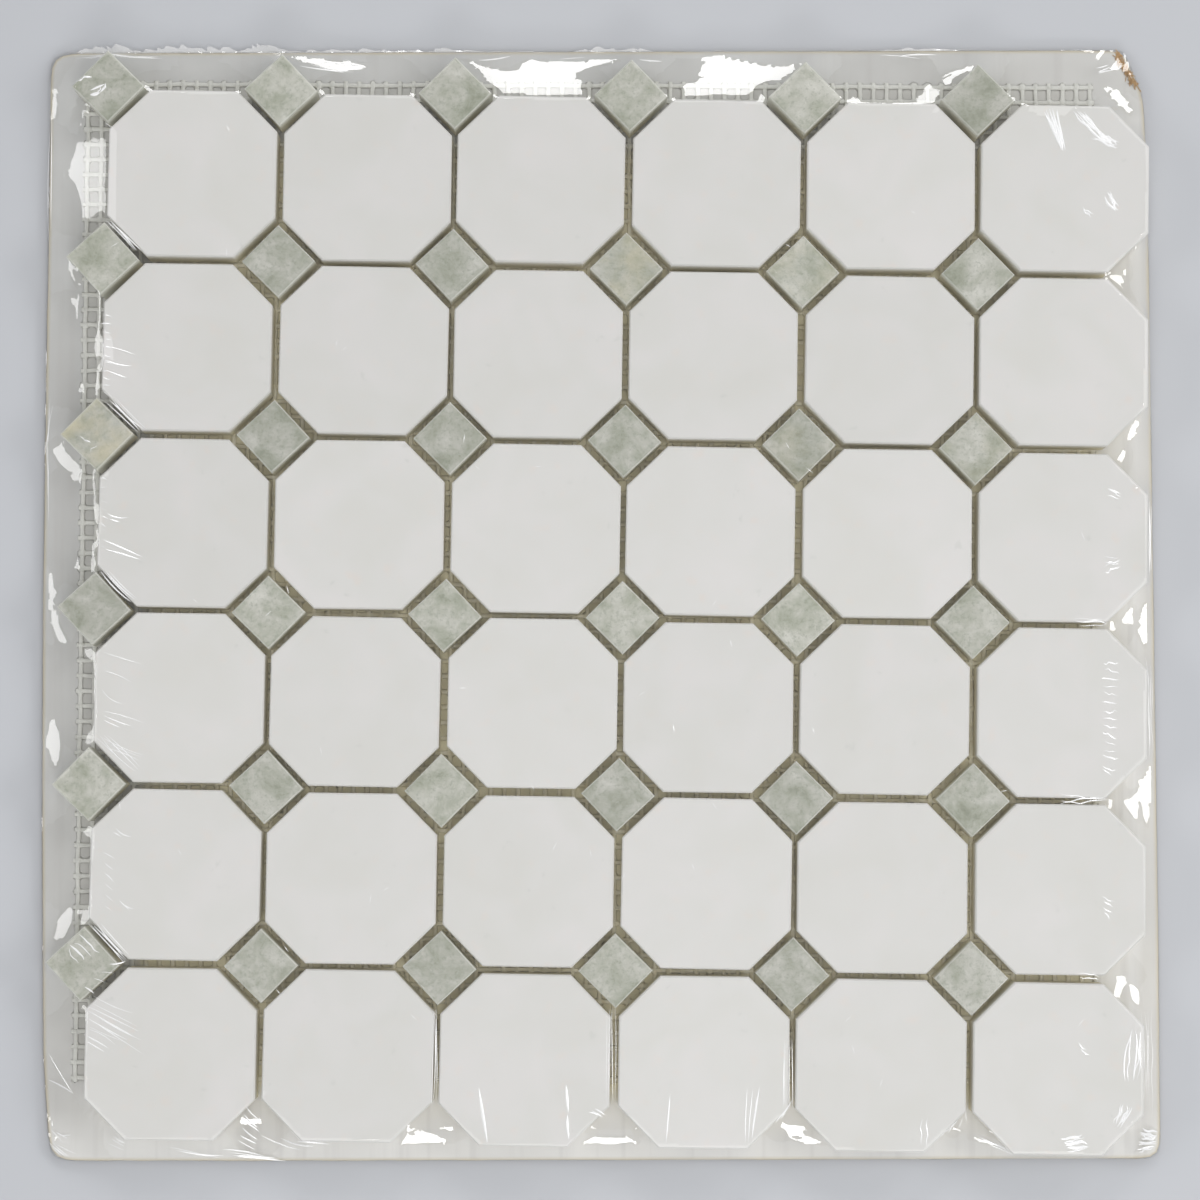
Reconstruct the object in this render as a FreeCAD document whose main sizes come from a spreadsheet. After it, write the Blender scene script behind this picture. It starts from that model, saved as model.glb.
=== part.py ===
import FreeCAD, Part
import Sketcher
import math
import os

# Mosaic tile sheet, packed flat. Six rows of six white stone octagons and six
# rows of small square dots are glued to a glass fibre mesh. The sheet lies on
# a card board, and one clear film is shrunk round the two.
# Millimetres. The origin is under the middle of the board, +X to the right,
# +Y to the top edge and +Z up out of the tile faces.

# Every size of the part. The tile grid sets the board and the mesh: the board
# is the tiled field and a spare width, and the mesh is the grid less what it
# was cut short. The field and the mesh have their own offset from the board's
# middle and their own turn, because both were laid down by hand.
SIZES = {
    "tile_pitch": 50.8,
    "tile_joint": 2.0,
    "tile_thick": 10.0,
    "tile_wander": 0.2,
    "turn_wander": 0.25,
    "dot_side": 15.0,
    "dot_joint": 2.2,
    "dot_wander": 0.3,
    "dot_turn": 1.5,
    "edge_ease": 0.4,
    "sheet_aside": 0.9,
    "sheet_along": 0.1,
    "sheet_turn": -1.14,
    "strand_wide": 1.1,
    "strand_thick": 0.3,
    "strand_gap_x": 4.0,
    "strand_gap_y": 4.5,
    "strand_tail": 1.2,
    "mesh_short_x": 9.9,
    "mesh_short_y": 14.4,
    "mesh_aside": -3.1,
    "mesh_along": 6.5,
    "mesh_turn": -0.35,
    "board_spare_x": 9.6,
    "board_spare_y": 9.6,
    "board_thick": 2.5,
    "worn_top_left": 4.4,
    "worn_bottom_left": 3.4,
    "worn_bottom_right": 2.2,
    "crushed_across": 6.8,
    "crushed_down": 13.5,
    "film_thick": 0.05,
    "film_slack": 0.6,
}

ROWS = 6
COLUMNS = 6

doc = FreeCAD.newDocument("tile_sheet")
sheet = doc.addObject("Spreadsheet::Sheet", "sizes")
for number, (name, value) in enumerate(SIZES.items(), 1):
    sheet.set(f"A{number}", name)
    sheet.set(f"B{number}", str(value))
    sheet.setAlias(f"B{number}", name)
doc.recompute()

# Heights of the layers, from the film under the board to the tile faces.
BOARD_SEAT = "sizes.film_thick"
MESH_SEAT = "(sizes.film_thick + sizes.board_thick)"
TILE_SEAT = f"({MESH_SEAT} + 2 * sizes.strand_thick)"
TILE_FACE = f"({TILE_SEAT} + sizes.tile_thick)"

# Lengths that the tile shapes share: the leg of an octagon's cut corner
# follows from the dot that sits there and the joint round it.
HALF_TILE = "((sizes.tile_pitch - sizes.tile_joint) / 2)"
HALF_DOT = "(sizes.dot_side / sqrt(2))"
TILE_LEG = "((sizes.dot_side / 2 + sizes.dot_joint) * sqrt(2) - sizes.tile_joint)"

# The tiled field: half the grid each way, the edge of the outer octagons, and
# the point of the outer dots, which stand out on the left and at the top.
HALF_GRID_X = f"({COLUMNS / 2} * sizes.tile_pitch)"
HALF_GRID_Y = f"({ROWS / 2} * sizes.tile_pitch)"
STAND_OUT = f"({HALF_DOT} + sizes.tile_joint / 2)"
BOARD_WIDE = f"(2 * {HALF_GRID_X} - sizes.tile_joint + {STAND_OUT} + sizes.board_spare_x)"
BOARD_LONG = f"(2 * {HALF_GRID_Y} - sizes.tile_joint + {STAND_OUT} + sizes.board_spare_y)"
MESH_WIDE = f"(2 * {HALF_GRID_X} - sizes.mesh_short_x)"
MESH_LONG = f"(2 * {HALF_GRID_Y} - sizes.mesh_short_y)"
SHEET_X = f"({STAND_OUT} / 2 + sizes.sheet_aside)"
SHEET_Y = f"(sizes.sheet_along - {STAND_OUT} / 2)"


def set_place(x, y, z, turn="0"):
    """A placement expression: a point and a turn about +Z."""
    return f"placement(vector({x}; {y}; {z}); rotation(vector(0; 0; 1); {turn}))"


SHEET_PLACE = set_place(SHEET_X, SHEET_Y, TILE_SEAT, "sizes.sheet_turn")


def new_body(label):
    body = doc.addObject("PartDesign::Body", label)
    body.Label = label
    body.AllowCompound = True
    return body


def new_sketch(body, name, offset=None):
    """A sketch on the body's own XY plane, or at an offset from it."""
    sketch = body.newObject("Sketcher::SketchObject", name)
    roles = {plane.Role: plane for plane in body.Origin.OriginFeatures}
    sketch.AttachmentSupport = [(roles["XY_Plane"], "")]
    sketch.MapMode = "FlatFace"
    if offset:
        sketch.setExpression("AttachmentOffset", offset)
    return sketch


def draw_loop(sketch, points):
    """A closed loop of straight lines, each corner held by two sizes."""
    spots = []
    for x, y in points:
        spots.append(FreeCAD.Vector(sketch.evalExpression(x), sketch.evalExpression(y), 0))
    first = sketch.GeometryCount
    count = len(spots)
    for step, spot in enumerate(spots):
        sketch.addGeometry(Part.LineSegment(spot, spots[(step + 1) % count]), False)
    for step in range(count):
        near = first + step
        far = first + (step + 1) % count
        sketch.addConstraint(Sketcher.Constraint("Coincident", near, 2, far, 1))
    for step, (x, y) in enumerate(points):
        for way, size, value in (("DistanceX", x, spots[step].x), ("DistanceY", y, spots[step].y)):
            corner = sketch.addConstraint(Sketcher.Constraint(way, -1, 1, first + step, 1, value))
            sketch.setExpression(f"Constraints[{corner}]", size)


def pad(body, sketch, length):
    feature = body.newObject("PartDesign::Pad", f"{body.Name}_pad")
    feature.Profile = sketch
    feature.setExpression("Length", length)
    doc.recompute()
    return feature


def ease_top(body, base, height):
    """Break the arris of every top edge of the base."""
    level = base.evalExpression(height)
    names = []
    for number, edge in enumerate(base.Shape.Edges, 1):
        if all(abs(vertex.Z - level) < 1e-6 for vertex in edge.Vertexes):
            names.append(f"Edge{number}")
    feature = body.newObject("PartDesign::Chamfer", f"{body.Name}_ease")
    feature.Base = (base, names)
    feature.setExpression("Size", "sizes.edge_ease")
    return feature


def octagon(row, column):
    """One large tile, a square with its four corners cut off for the dots."""
    body = new_body(f"octagon_r{row + 1}_c{column + 1}")
    sketch = new_sketch(body, f"{body.Name}_outline")
    cut = f"({HALF_TILE} - {TILE_LEG})"
    corners = [
        (HALF_TILE, f"-{cut}"), (HALF_TILE, cut), (cut, HALF_TILE), (f"-{cut}", HALF_TILE),
        (f"-{HALF_TILE}", cut), (f"-{HALF_TILE}", f"-{cut}"), (f"-{cut}", f"-{HALF_TILE}"),
        (cut, f"-{HALF_TILE}"),
    ]
    draw_loop(sketch, corners)
    block = pad(body, sketch, "sizes.tile_thick")
    ease_top(body, block, "sizes.tile_thick")
    # Each tile was set by hand, so it lies a little off its place in the grid.
    aside = round(math.sin(5.1 * row + 2.3 * column), 3)
    along = round(math.sin(1.9 * row + 3.7 * column + 1), 3)
    twist = round(math.sin(2.9 * row - 4.3 * column), 3)
    x = f"{column + 0.5} * sizes.tile_pitch - {HALF_GRID_X} + {aside} * sizes.tile_wander"
    y = f"{HALF_GRID_Y} - {row + 0.5} * sizes.tile_pitch + {along} * sizes.tile_wander"
    on_sheet = set_place(x, y, "0", f"{twist} * sizes.turn_wander")
    body.setExpression("Placement", f"{SHEET_PLACE} * {on_sheet}")
    return body


def dot_row(row):
    """A row of dots, each on the upper left corner of its octagon."""
    body = new_body(f"dots_row_{row + 1}")
    sketch = new_sketch(body, f"{body.Name}_outline")
    for column in range(COLUMNS):
        aside = round(math.sin(4.3 * row + 1.7 * column + 2), 3)
        along = round(math.sin(2.1 * row + 5.3 * column), 3)
        twist = round(math.sin(3.3 * row + 2.9 * column + 1), 3)
        middle_x = f"{column} * sizes.tile_pitch - {HALF_GRID_X} + {aside} * sizes.dot_wander"
        middle_y = f"{along} * sizes.dot_wander"
        arm_x = f"{HALF_DOT} * cos({twist} * sizes.dot_turn * 1 deg)"
        arm_y = f"{HALF_DOT} * sin({twist} * sizes.dot_turn * 1 deg)"
        corners = [
            (f"{middle_x} + {arm_x}", f"{middle_y} + {arm_y}"),
            (f"{middle_x} - {arm_y}", f"{middle_y} + {arm_x}"),
            (f"{middle_x} - {arm_x}", f"{middle_y} - {arm_y}"),
            (f"{middle_x} + {arm_y}", f"{middle_y} - {arm_x}"),
        ]
        draw_loop(sketch, corners)
    block = pad(body, sketch, "sizes.tile_thick")
    ease_top(body, block, "sizes.tile_thick")
    on_sheet = set_place("0", f"{HALF_GRID_Y} - {row} * sizes.tile_pitch", "0")
    body.setExpression("Placement", f"{SHEET_PLACE} * {on_sheet}")
    return body


def strands(label, wide, long, gap, across, layer):
    """Parallel flat strands of the mesh, one drawn and the rest patterned."""
    body = new_body(label)
    sketch = new_sketch(body, f"{label}_outline")
    low = f"(-{wide} / 2 - sizes.strand_wide / 2)"
    high = f"(-{wide} / 2 + sizes.strand_wide / 2)"
    end = f"({long} / 2 + sizes.strand_wide / 2 + sizes.strand_tail)"
    if across == "H_Axis":
        corners = [(low, f"-{end}"), (high, f"-{end}"), (high, end), (low, end)]
    else:
        corners = [(f"-{end}", low), (end, low), (end, high), (f"-{end}", high)]
    draw_loop(sketch, corners)
    strand = pad(body, sketch, "sizes.strand_thick")
    spread = body.newObject("PartDesign::LinearPattern", f"{label}_spread")
    spread.Originals = [strand]
    spread.Direction = (sketch, [across])
    spread.setExpression("Length", wide)
    spread.setExpression("Occurrences", f"round({wide} / {gap}) + 1")
    body.Tip = spread
    height = f"{MESH_SEAT} + {layer} * sizes.strand_thick"
    body.setExpression("Placement", set_place("sizes.mesh_aside", "sizes.mesh_along", height, "sizes.mesh_turn"))
    return body


def board_loop(grow):
    """The board's outline, grown by a length: three worn corners, one crushed."""
    side = f"({BOARD_WIDE} / 2 + {grow})"
    end = f"({BOARD_LONG} / 2 + {grow})"
    corners = []
    for across, down, cut, sign_x, sign_y in (
        ("sizes.worn_bottom_left", "sizes.worn_bottom_left", 0.29, "-", "-"),
        ("sizes.worn_bottom_right", "sizes.worn_bottom_right", 0.29, "", "-"),
        ("sizes.crushed_across", "sizes.crushed_down", 0.48, "", ""),
        ("sizes.worn_top_left", "sizes.worn_top_left", 0.29, "-", ""),
    ):
        upright = (f"{sign_x}{side}", f"{sign_y}({end} - {down})")
        middle = (f"{sign_x}({side} - {cut} * {across})", f"{sign_y}({end} - {cut} * {down})")
        level = (f"{sign_x}({side} - {across})", f"{sign_y}{end}")
        turn = [upright, middle, level]
        if sign_x != sign_y:
            turn.reverse()
        corners += turn
    return corners


def tile_loop(grow):
    """The line that a film drawn tight round the tile faces follows."""
    slack = f"(sizes.film_slack + {grow})"
    flat_x = f"({HALF_GRID_X} - sizes.tile_joint / 2)"
    flat_y = f"({HALF_GRID_Y} - sizes.tile_joint / 2)"
    right = f"({flat_x} + {slack})"
    low = f"-({flat_y} + {slack})"
    left = f"-({HALF_GRID_X} + {HALF_DOT} + {slack})"
    top = f"({HALF_GRID_Y} + {HALF_DOT} + {slack})"
    cut_x = f"({flat_x} - {TILE_LEG})"
    cut_y = f"({flat_y} - {TILE_LEG})"
    return [
        (left, f"-({HALF_GRID_Y} - sizes.tile_pitch + {slack})"),
        (f"-{right}", f"-{cut_y}"),
        (f"-{cut_x}", low),
        (cut_x, low),
        (f"({cut_x} + {right}) / 2", f"({low} - {cut_y}) / 2"),
        (right, f"-{cut_y}"),
        (right, cut_y),
        (cut_x, f"({flat_y} + {slack})"),
        (f"({HALF_GRID_X} - sizes.tile_pitch + {slack})", top),
        (f"-{HALF_GRID_X}", top),
        (f"({left} - {HALF_GRID_X}) / 2", f"({top} + {HALF_GRID_Y}) / 2"),
        (left, HALF_GRID_Y),
    ]


def film_loft(body, kind, name, grow, low, high):
    """A skin's volume: upright round the board, then in to the tile faces."""
    levels = [
        (board_loop(grow), set_place("0", "0", low)),
        (board_loop(grow), set_place("0", "0", MESH_SEAT)),
        (tile_loop(grow), set_place(SHEET_X, SHEET_Y, high, "sizes.sheet_turn")),
    ]
    rings = []
    for number, (loop, offset) in enumerate(levels, 1):
        ring = new_sketch(body, f"{name}_ring_{number}", offset)
        draw_loop(ring, loop)
        rings.append(ring)
    doc.recompute()
    feature = body.newObject(kind, name)
    feature.Profile = rings[0]
    feature.Sections = rings[1:]
    feature.Ruled = True
    doc.recompute()
    return feature



pieces = []

# The board is one card blank. Three of its corners are worn to a soft curve,
# and the top right one is crushed, further down the side than along the top.
board = new_body("backing_board")
outline = new_sketch(board, "board_outline")
draw_loop(outline, board_loop("0"))
pad(board, outline, "sizes.board_thick")
board.setExpression("Placement", set_place("0", "0", BOARD_SEAT))
pieces.append(board)

# The mesh is two layers of strands, the crosswise ones under the lengthwise
# ones, and each strand runs on a little past the last one that it crosses.
cross = ("mesh_crosswise_strands", MESH_LONG, MESH_WIDE, "sizes.strand_gap_y", "V_Axis", 0)
length = ("mesh_lengthwise_strands", MESH_WIDE, MESH_LONG, "sizes.strand_gap_x", "H_Axis", 1)
pieces.append(strands(*cross))
pieces.append(strands(*length))

for row in range(ROWS):
    for column in range(COLUMNS):
        pieces.append(octagon(row, column))
for row in range(ROWS):
    pieces.append(dot_row(row))

# The film is a closed bag: its outside, less the room that the board and the
# tiles fill.
film = new_body("shrink_film")
film_loft(film, "PartDesign::AdditiveLoft", "film_outside", "sizes.film_thick", "0", f"{TILE_FACE} + sizes.film_thick")
full = film.Shape.Volume
film_loft(film, "PartDesign::SubtractiveLoft", "film_inside", "0", BOARD_SEAT, TILE_FACE)
pieces.append(film)

doc.recompute()

for item in doc.Objects:
    if "Invalid" in item.State or "Error" in item.State:
        raise RuntimeError(f"{item.Name} did not build: {item.State}")
for piece in pieces:
    if piece.Shape.isNull() or not piece.Shape.isValid():
        raise RuntimeError(f"{piece.Label} is not a valid solid")
if not film.Shape.Volume < 0.1 * full:
    raise RuntimeError("the film is not hollow")

os.makedirs("parts", exist_ok=True)
for piece in pieces:
    piece.Shape.exportStep(f"parts/{piece.Label}.step")
    print(piece.Label, len(piece.Shape.Solids), round(piece.Shape.Volume, 2))
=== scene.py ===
import math

import bpy
import numpy as np
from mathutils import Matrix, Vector, noise


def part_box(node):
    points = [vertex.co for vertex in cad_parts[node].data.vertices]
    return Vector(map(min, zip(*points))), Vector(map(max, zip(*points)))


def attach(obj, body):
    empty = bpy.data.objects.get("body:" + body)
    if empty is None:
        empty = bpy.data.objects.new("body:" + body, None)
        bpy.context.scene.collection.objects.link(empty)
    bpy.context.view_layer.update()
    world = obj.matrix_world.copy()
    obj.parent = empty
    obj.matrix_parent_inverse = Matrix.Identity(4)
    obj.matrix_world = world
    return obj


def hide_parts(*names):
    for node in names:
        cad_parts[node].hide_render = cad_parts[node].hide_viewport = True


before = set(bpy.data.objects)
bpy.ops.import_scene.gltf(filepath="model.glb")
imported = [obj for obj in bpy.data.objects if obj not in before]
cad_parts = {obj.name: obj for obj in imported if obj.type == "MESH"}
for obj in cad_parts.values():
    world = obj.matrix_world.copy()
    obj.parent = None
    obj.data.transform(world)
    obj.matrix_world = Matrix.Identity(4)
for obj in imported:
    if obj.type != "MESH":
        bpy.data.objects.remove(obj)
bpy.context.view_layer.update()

# Mosaic tile sheet, packed flat: stone octagons and dots glued to a glass
# fibre mesh, laid on a card board and sealed in clear shrink film.
# Metres, +Z up out of the tile faces, +Y to the top edge of the sheet.

MM = 0.001

# The tile grid, as it lies on the board.
PITCH = 50.8 * MM
HALF_GRID = 3 * PITCH
SHEET_TURN = math.radians(-1.14)
SHEET_MIDDLE = np.array((6.703, -5.703)) * MM
TILE_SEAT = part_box("octagon_r1_c1")[0][2]
TILE_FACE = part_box("octagon_r1_c1")[1][2]

# The mesh: first and last strands are this far apart, and each strand runs a
# little past the last one that it crosses.
NET_MIDDLE = np.array((-3.1, 6.5)) * MM
NET_TURN = math.radians(-0.35)
NET_WIDE = 294.9 * MM
NET_LONG = 290.4 * MM
NET_COLUMNS = 75
NET_ROWS = 66
NET_TAIL = 1.2 * MM
STRAND_WIDE = 1.45 * MM
STRAND_THICK = 0.26 * MM

# The board: its underside, its face, and its outline in four runs, each from
# one corner to the next, anticlockwise from the bottom left, in millimetres.
BOARD_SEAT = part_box("backing_board")[0][2]
BOARD_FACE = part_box("backing_board")[1][2]
BOARD_RUNS = (
    ((-156.8, -160.7), (-152.8, -161.6), (-100, -161.8), (0, -161.9), (100, -162.0), (144.2, -162.0),
     (158.6, -161.9)),
    ((161.2, -160.6), (161.7, -156.6), (162.0, -100), (162.0, 0), (162.0, 117.3), (161.6, 132.2),
     (161.2, 143.5), (160.7, 149.2), (159.5, 151.9)),
    ((157.3, 157.3), (155.2, 161.9), (148.5, 162.0), (50, 162.0), (-50, 162.0), (-149.4, 162.0),
     (-156.7, 161.9)),
    ((-159.9, 160.3), (-160.9, 157.0), (-160.9, 133.1), (-161.6, 60), (-161.9, 0), (-161.7, -60),
     (-160.8, -129.8), (-159.5, -149.9), (-158.6, -158.4)),
)

scene = bpy.context.scene
scene.view_settings.view_transform = "Standard"


# Helpers for shapes

def new_object(name, points, faces, material=None, smooth=True):
    """A mesh object at the origin, with its place in its points."""
    mesh = bpy.data.meshes.new(name)
    mesh.from_pydata([tuple(map(float, point)) for point in points], [], faces)
    mesh.validate()
    mesh.polygons.foreach_set("use_smooth", [smooth] * len(mesh.polygons))
    mesh.update()
    if material:
        mesh.materials.append(material)
    return placed(name, mesh)


def placed(name, mesh):
    piece = bpy.data.objects.new(name, mesh)
    mesh.name = name
    scene.collection.objects.link(piece)
    return piece


def handed_over(piece, slot, *nodes):
    """Rides the piece on the body and hides the parts that it stands in for."""
    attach(piece, "root")
    if nodes:
        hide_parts(*nodes)


def turned(points, angle):
    """Points in the plane, turned about the origin."""
    points = np.asarray(points, float)
    cosine, sine = math.cos(angle), math.sin(angle)
    return np.stack((points[..., 0] * cosine - points[..., 1] * sine,
                     points[..., 0] * sine + points[..., 1] * cosine), axis=-1)


def to_grid(points):
    """Board plane to the tile grid's own plane."""
    return turned(np.asarray(points, float) - SHEET_MIDDLE, -SHEET_TURN)


def ripple(x, y, scale, layer=0.0):
    """Smooth noise from about -1 to 1 at a place, in waves of one length."""
    return noise.noise(Vector((x / scale, y / scale, layer)))


# Helpers for node trees

def add_node(tree, kind, values=None, **settings):
    """A node with its settings and its unlinked input values."""
    node = tree.nodes.new(kind)
    for name, value in settings.items():
        setattr(node, name, value)
    for name, value in (values or {}).items():
        node.inputs[name].default_value = value
    return node


def feed(tree, socket, source):
    """Sets a socket to a value, or links it to an output."""
    if isinstance(source, bpy.types.NodeSocket):
        tree.links.new(source, socket)
    elif isinstance(source, (tuple, list)) and socket.type == "RGBA" and len(source) == 3:
        socket.default_value = (*source, 1)
    else:
        socket.default_value = source


def maths(tree, operation, *sources):
    node = add_node(tree, "ShaderNodeMath", operation=operation)
    for place, source in enumerate(sources):
        feed(tree, node.inputs[place], source)
    return node.outputs[0]


def times(tree, first, second):
    return maths(tree, "MULTIPLY", first, second)


def vector_maths(tree, operation, *sources):
    node = add_node(tree, "ShaderNodeVectorMath", operation=operation)
    for place, source in enumerate(sources):
        feed(tree, node.inputs[place], source)
    return node.outputs[0]


def ramp(tree, source, stops):
    """A colour ramp; stops are pairs of place and colour, or place and grey."""
    node = add_node(tree, "ShaderNodeValToRGB")
    elements = node.color_ramp.elements
    while len(elements) < len(stops):
        elements.new(0.5)
    for element, (place, colour) in zip(elements, stops):
        element.position = place
        element.color = (*colour, 1) if isinstance(colour, tuple) else (colour, colour, colour, 1)
    tree.links.new(source, node.inputs[0])
    return node.outputs[0]


MIX_FACTOR, MIX_FIRST, MIX_SECOND, MIX_RESULT = 0, 6, 7, 2


def mixed(tree, factor, first, second, blend="MIX"):
    node = add_node(tree, "ShaderNodeMix", data_type="RGBA", blend_type=blend)
    feed(tree, node.inputs[MIX_FACTOR], factor)
    feed(tree, node.inputs[MIX_FIRST], first)
    feed(tree, node.inputs[MIX_SECOND], second)
    return node.outputs[MIX_RESULT]


def noise_of(tree, vector, scale, detail=2.0, rough=0.5, distortion=0.0):
    node = add_node(tree, "ShaderNodeTexNoise", {"Scale": scale, "Detail": detail, "Roughness": rough,
                                                 "Distortion": distortion})
    tree.links.new(vector, node.inputs["Vector"])
    return node.outputs["Fac"]


def split(tree, vector):
    node = add_node(tree, "ShaderNodeSeparateXYZ")
    tree.links.new(vector, node.inputs[0])
    return node.outputs


def share_between(tree, value, low, high):
    """0 at one value and 1 at another, held at both."""
    node = add_node(tree, "ShaderNodeMapRange", {"From Min": low, "From Max": high})
    tree.links.new(value, node.inputs["Value"])
    return node.outputs[0]


def new_finish(name):
    """A material with an empty tree and its output."""
    material = bpy.data.materials.new(name)
    material.use_nodes = True
    tree = material.node_tree
    tree.nodes.clear()
    out = tree.nodes.new("ShaderNodeOutputMaterial")
    return material, tree, out


def surface(tree, out, colour, rough, bump_height=None, bump=0.1, depth=0.2 * MM, shine=0.5):
    """The main shader with a colour, a roughness and a small relief."""
    shader = add_node(tree, "ShaderNodeBsdfPrincipled", {"Specular IOR Level": shine})
    feed(tree, shader.inputs["Base Color"], colour)
    feed(tree, shader.inputs["Roughness"], rough)
    if bump_height is not None:
        relief = add_node(tree, "ShaderNodeBump", {"Strength": bump, "Distance": depth})
        tree.links.new(bump_height, relief.inputs["Height"])
        tree.links.new(relief.outputs[0], shader.inputs["Normal"])
    tree.links.new(shader.outputs[0], out.inputs["Surface"])


def srgb(red, green, blue):
    """A colour read in eight bit values, as linear light."""
    def one(value):
        value /= 255
        return value / 12.92 if value <= 0.04045 else ((value + 0.055) / 1.055) ** 2.4
    return (one(red), one(green), one(blue))


# Finishes

def object_place(tree):
    return add_node(tree, "ShaderNodeTexCoord").outputs["Object"]


def grid_place(tree, place):
    """A place in the tile grid's own plane."""
    mapping = add_node(tree, "ShaderNodeMapping")
    shift = turned(-SHEET_MIDDLE, -SHEET_TURN)
    mapping.inputs["Location"].default_value = (shift[0], shift[1], 0)
    mapping.inputs["Rotation"].default_value = (0, 0, -SHEET_TURN)
    tree.links.new(place, mapping.inputs["Vector"])
    return mapping.outputs[0]


def stone_place(tree, half_step):
    """A place that jumps from stone to stone, and a chance for each stone."""
    place = object_place(tree)
    steps = vector_maths(tree, "MULTIPLY", grid_place(tree, place), (1 / PITCH, 1 / PITCH, 0))
    cell = vector_maths(tree, "FLOOR", vector_maths(tree, "ADD", steps, (half_step + 20, half_step + 20, 0)))
    chance = add_node(tree, "ShaderNodeTexWhiteNoise", noise_dimensions="3D")
    tree.links.new(cell, chance.inputs["Vector"])
    offset = vector_maths(tree, "MULTIPLY", chance.outputs["Color"], (3.1, 2.7, 1.9))
    return place, vector_maths(tree, "ADD", place, offset), chance


def tiled_field(tree, place, edge, full):
    """0 out from the tiled field and 1 within it, between two lines beside its
    border, in millimetres."""
    parts = split(tree, vector_maths(tree, "ABSOLUTE", grid_place(tree, place)))
    reach = maths(tree, "MAXIMUM", parts["X"], parts["Y"])
    return share_between(tree, reach, HALF_GRID + edge * MM, HALF_GRID + full * MM)


def glued_lit_sides(tree, place, colour, lit_sawn, glue, sawn_share):
    """Sawn sides and the glue's stain in the joints, painted paler than the face: painted light deep in the
    joints.
    """
    height = split(tree, place)["Z"]
    side = share_between(tree, height, TILE_FACE - 0.2 * MM, TILE_FACE - 1.6 * MM)
    low = share_between(tree, height, TILE_FACE - 1.5 * MM, TILE_SEAT + 2.5 * MM)
    cut = mixed(tree, times(tree, side, sawn_share), colour, lit_sawn)
    deep = share_between(tree, height, TILE_SEAT + 2.5 * MM, TILE_SEAT)
    stain = maths(tree, "MAXIMUM", times(tree, low, tiled_field(tree, place, -1.5, -6)), times(tree, deep, 0.5))
    return mixed(tree, times(tree, stain, 0.9), cut, glue), side


def own_shade(tree, colour, chance, low, high):
    """The colour, darker or paler by a chance for each stone."""
    tone = add_node(tree, "ShaderNodeMapRange", {"To Min": low, "To Max": high})
    tree.links.new(chance.outputs["Value"], tone.inputs["Value"])
    return mixed(tree, 1.0, colour, tone.outputs[0], "MULTIPLY")


def white_marble():
    material, tree, out = new_finish("white_marble")
    place, stone, chance = stone_place(tree, 0)
    cloud = noise_of(tree, stone, 46, 2, 0.55, 0.6)
    base = ramp(tree, cloud, [(0.30, srgb(213, 212, 208)), (0.50, srgb(215, 214, 211)),
                              (0.72, srgb(218, 216, 214))])
    toned = own_shade(tree, base, chance, 0.975, 1.012)
    # Faint warm stains and the odd grey grain.
    fleck = noise_of(tree, stone, 230, 3, 0.62)
    stained = mixed(tree, ramp(tree, fleck, [(0.60, 0.0), (0.76, 0.34)]), toned, srgb(222, 208, 198))
    grained = mixed(tree, ramp(tree, fleck, [(0.26, 0.35), (0.33, 0.0)]), stained, srgb(196, 197, 193))
    # The sides and the glue are painted paler than the face: painted light deep in the joints.
    colour, side = glued_lit_sides(tree, place, grained, srgb(236, 234, 228), srgb(244, 237, 212), 0.85)
    rough = ramp(tree, side, [(0, 0.30), (1, 0.8)])
    surface(tree, out, colour, rough, fleck, 0.1)
    return material


def green_marble():
    material, tree, out = new_finish("green_marble")
    place, stone, chance = stone_place(tree, 0.5)
    cloud = noise_of(tree, stone, 120, 5, 0.68, 0.3)
    base = ramp(tree, cloud, [(0.26, srgb(138, 142, 125)), (0.42, srgb(166, 168, 155)),
                              (0.56, srgb(186, 186, 177)), (0.74, srgb(206, 205, 198))])
    toned = own_shade(tree, base, chance, 0.93, 1.12)
    # Dark green grains and threads, and an ochre flush on some stones only.
    grain = noise_of(tree, stone, 900, 3, 0.7, 0.2)
    flecked = mixed(tree, ramp(tree, grain, [(0.34, 0.42), (0.48, 0.0)]), toned, srgb(134, 140, 124))
    apart = add_node(tree, "ShaderNodeSeparateColor")
    tree.links.new(chance.outputs["Color"], apart.inputs[0])
    some = ramp(tree, apart.outputs[1], [(0.82, 0.0), (0.94, 1.0)])
    flush = ramp(tree, noise_of(tree, stone, 95, 3, 0.6), [(0.42, 0.0), (0.66, 0.6)])
    flushed = mixed(tree, times(tree, some, flush), flecked, srgb(198, 190, 160))
    # The arris is painted paler than the face: a painted highlight along the bevel.
    height = split(tree, place)["Z"]
    arris_highlight = share_between(tree, height, TILE_FACE - 0.01 * MM, TILE_FACE - 0.12 * MM)
    highlighted = mixed(tree, times(tree, arris_highlight, 0.45), flushed, srgb(232, 233, 226))
    # The sides and the glue are painted paler than the face: painted light deep in the joints.
    colour, side = glued_lit_sides(tree, place, highlighted, srgb(206, 206, 194), srgb(238, 232, 208), 0.8)
    rough = ramp(tree, side, [(0, 0.28), (1, 0.8)])
    surface(tree, out, colour, rough, grain, 0.12)
    return material


def under_tiles(tree, place):
    """1 well within the tiled field, 0 in its margins and open notches."""
    return tiled_field(tree, place, -12, -18)


def under_net(tree, place):
    """1 where the net lies, 0 beside it."""
    moved = vector_maths(tree, "SUBTRACT", place, (NET_MIDDLE[0], NET_MIDDLE[1], 0))
    parts = split(tree, vector_maths(tree, "ABSOLUTE", moved))
    beside = maths(tree, "MAXIMUM", maths(tree, "SUBTRACT", parts["X"], NET_WIDE / 2),
                   maths(tree, "SUBTRACT", parts["Y"], NET_LONG / 2))
    return share_between(tree, beside, 0.6 * MM, -0.8 * MM)


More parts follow.
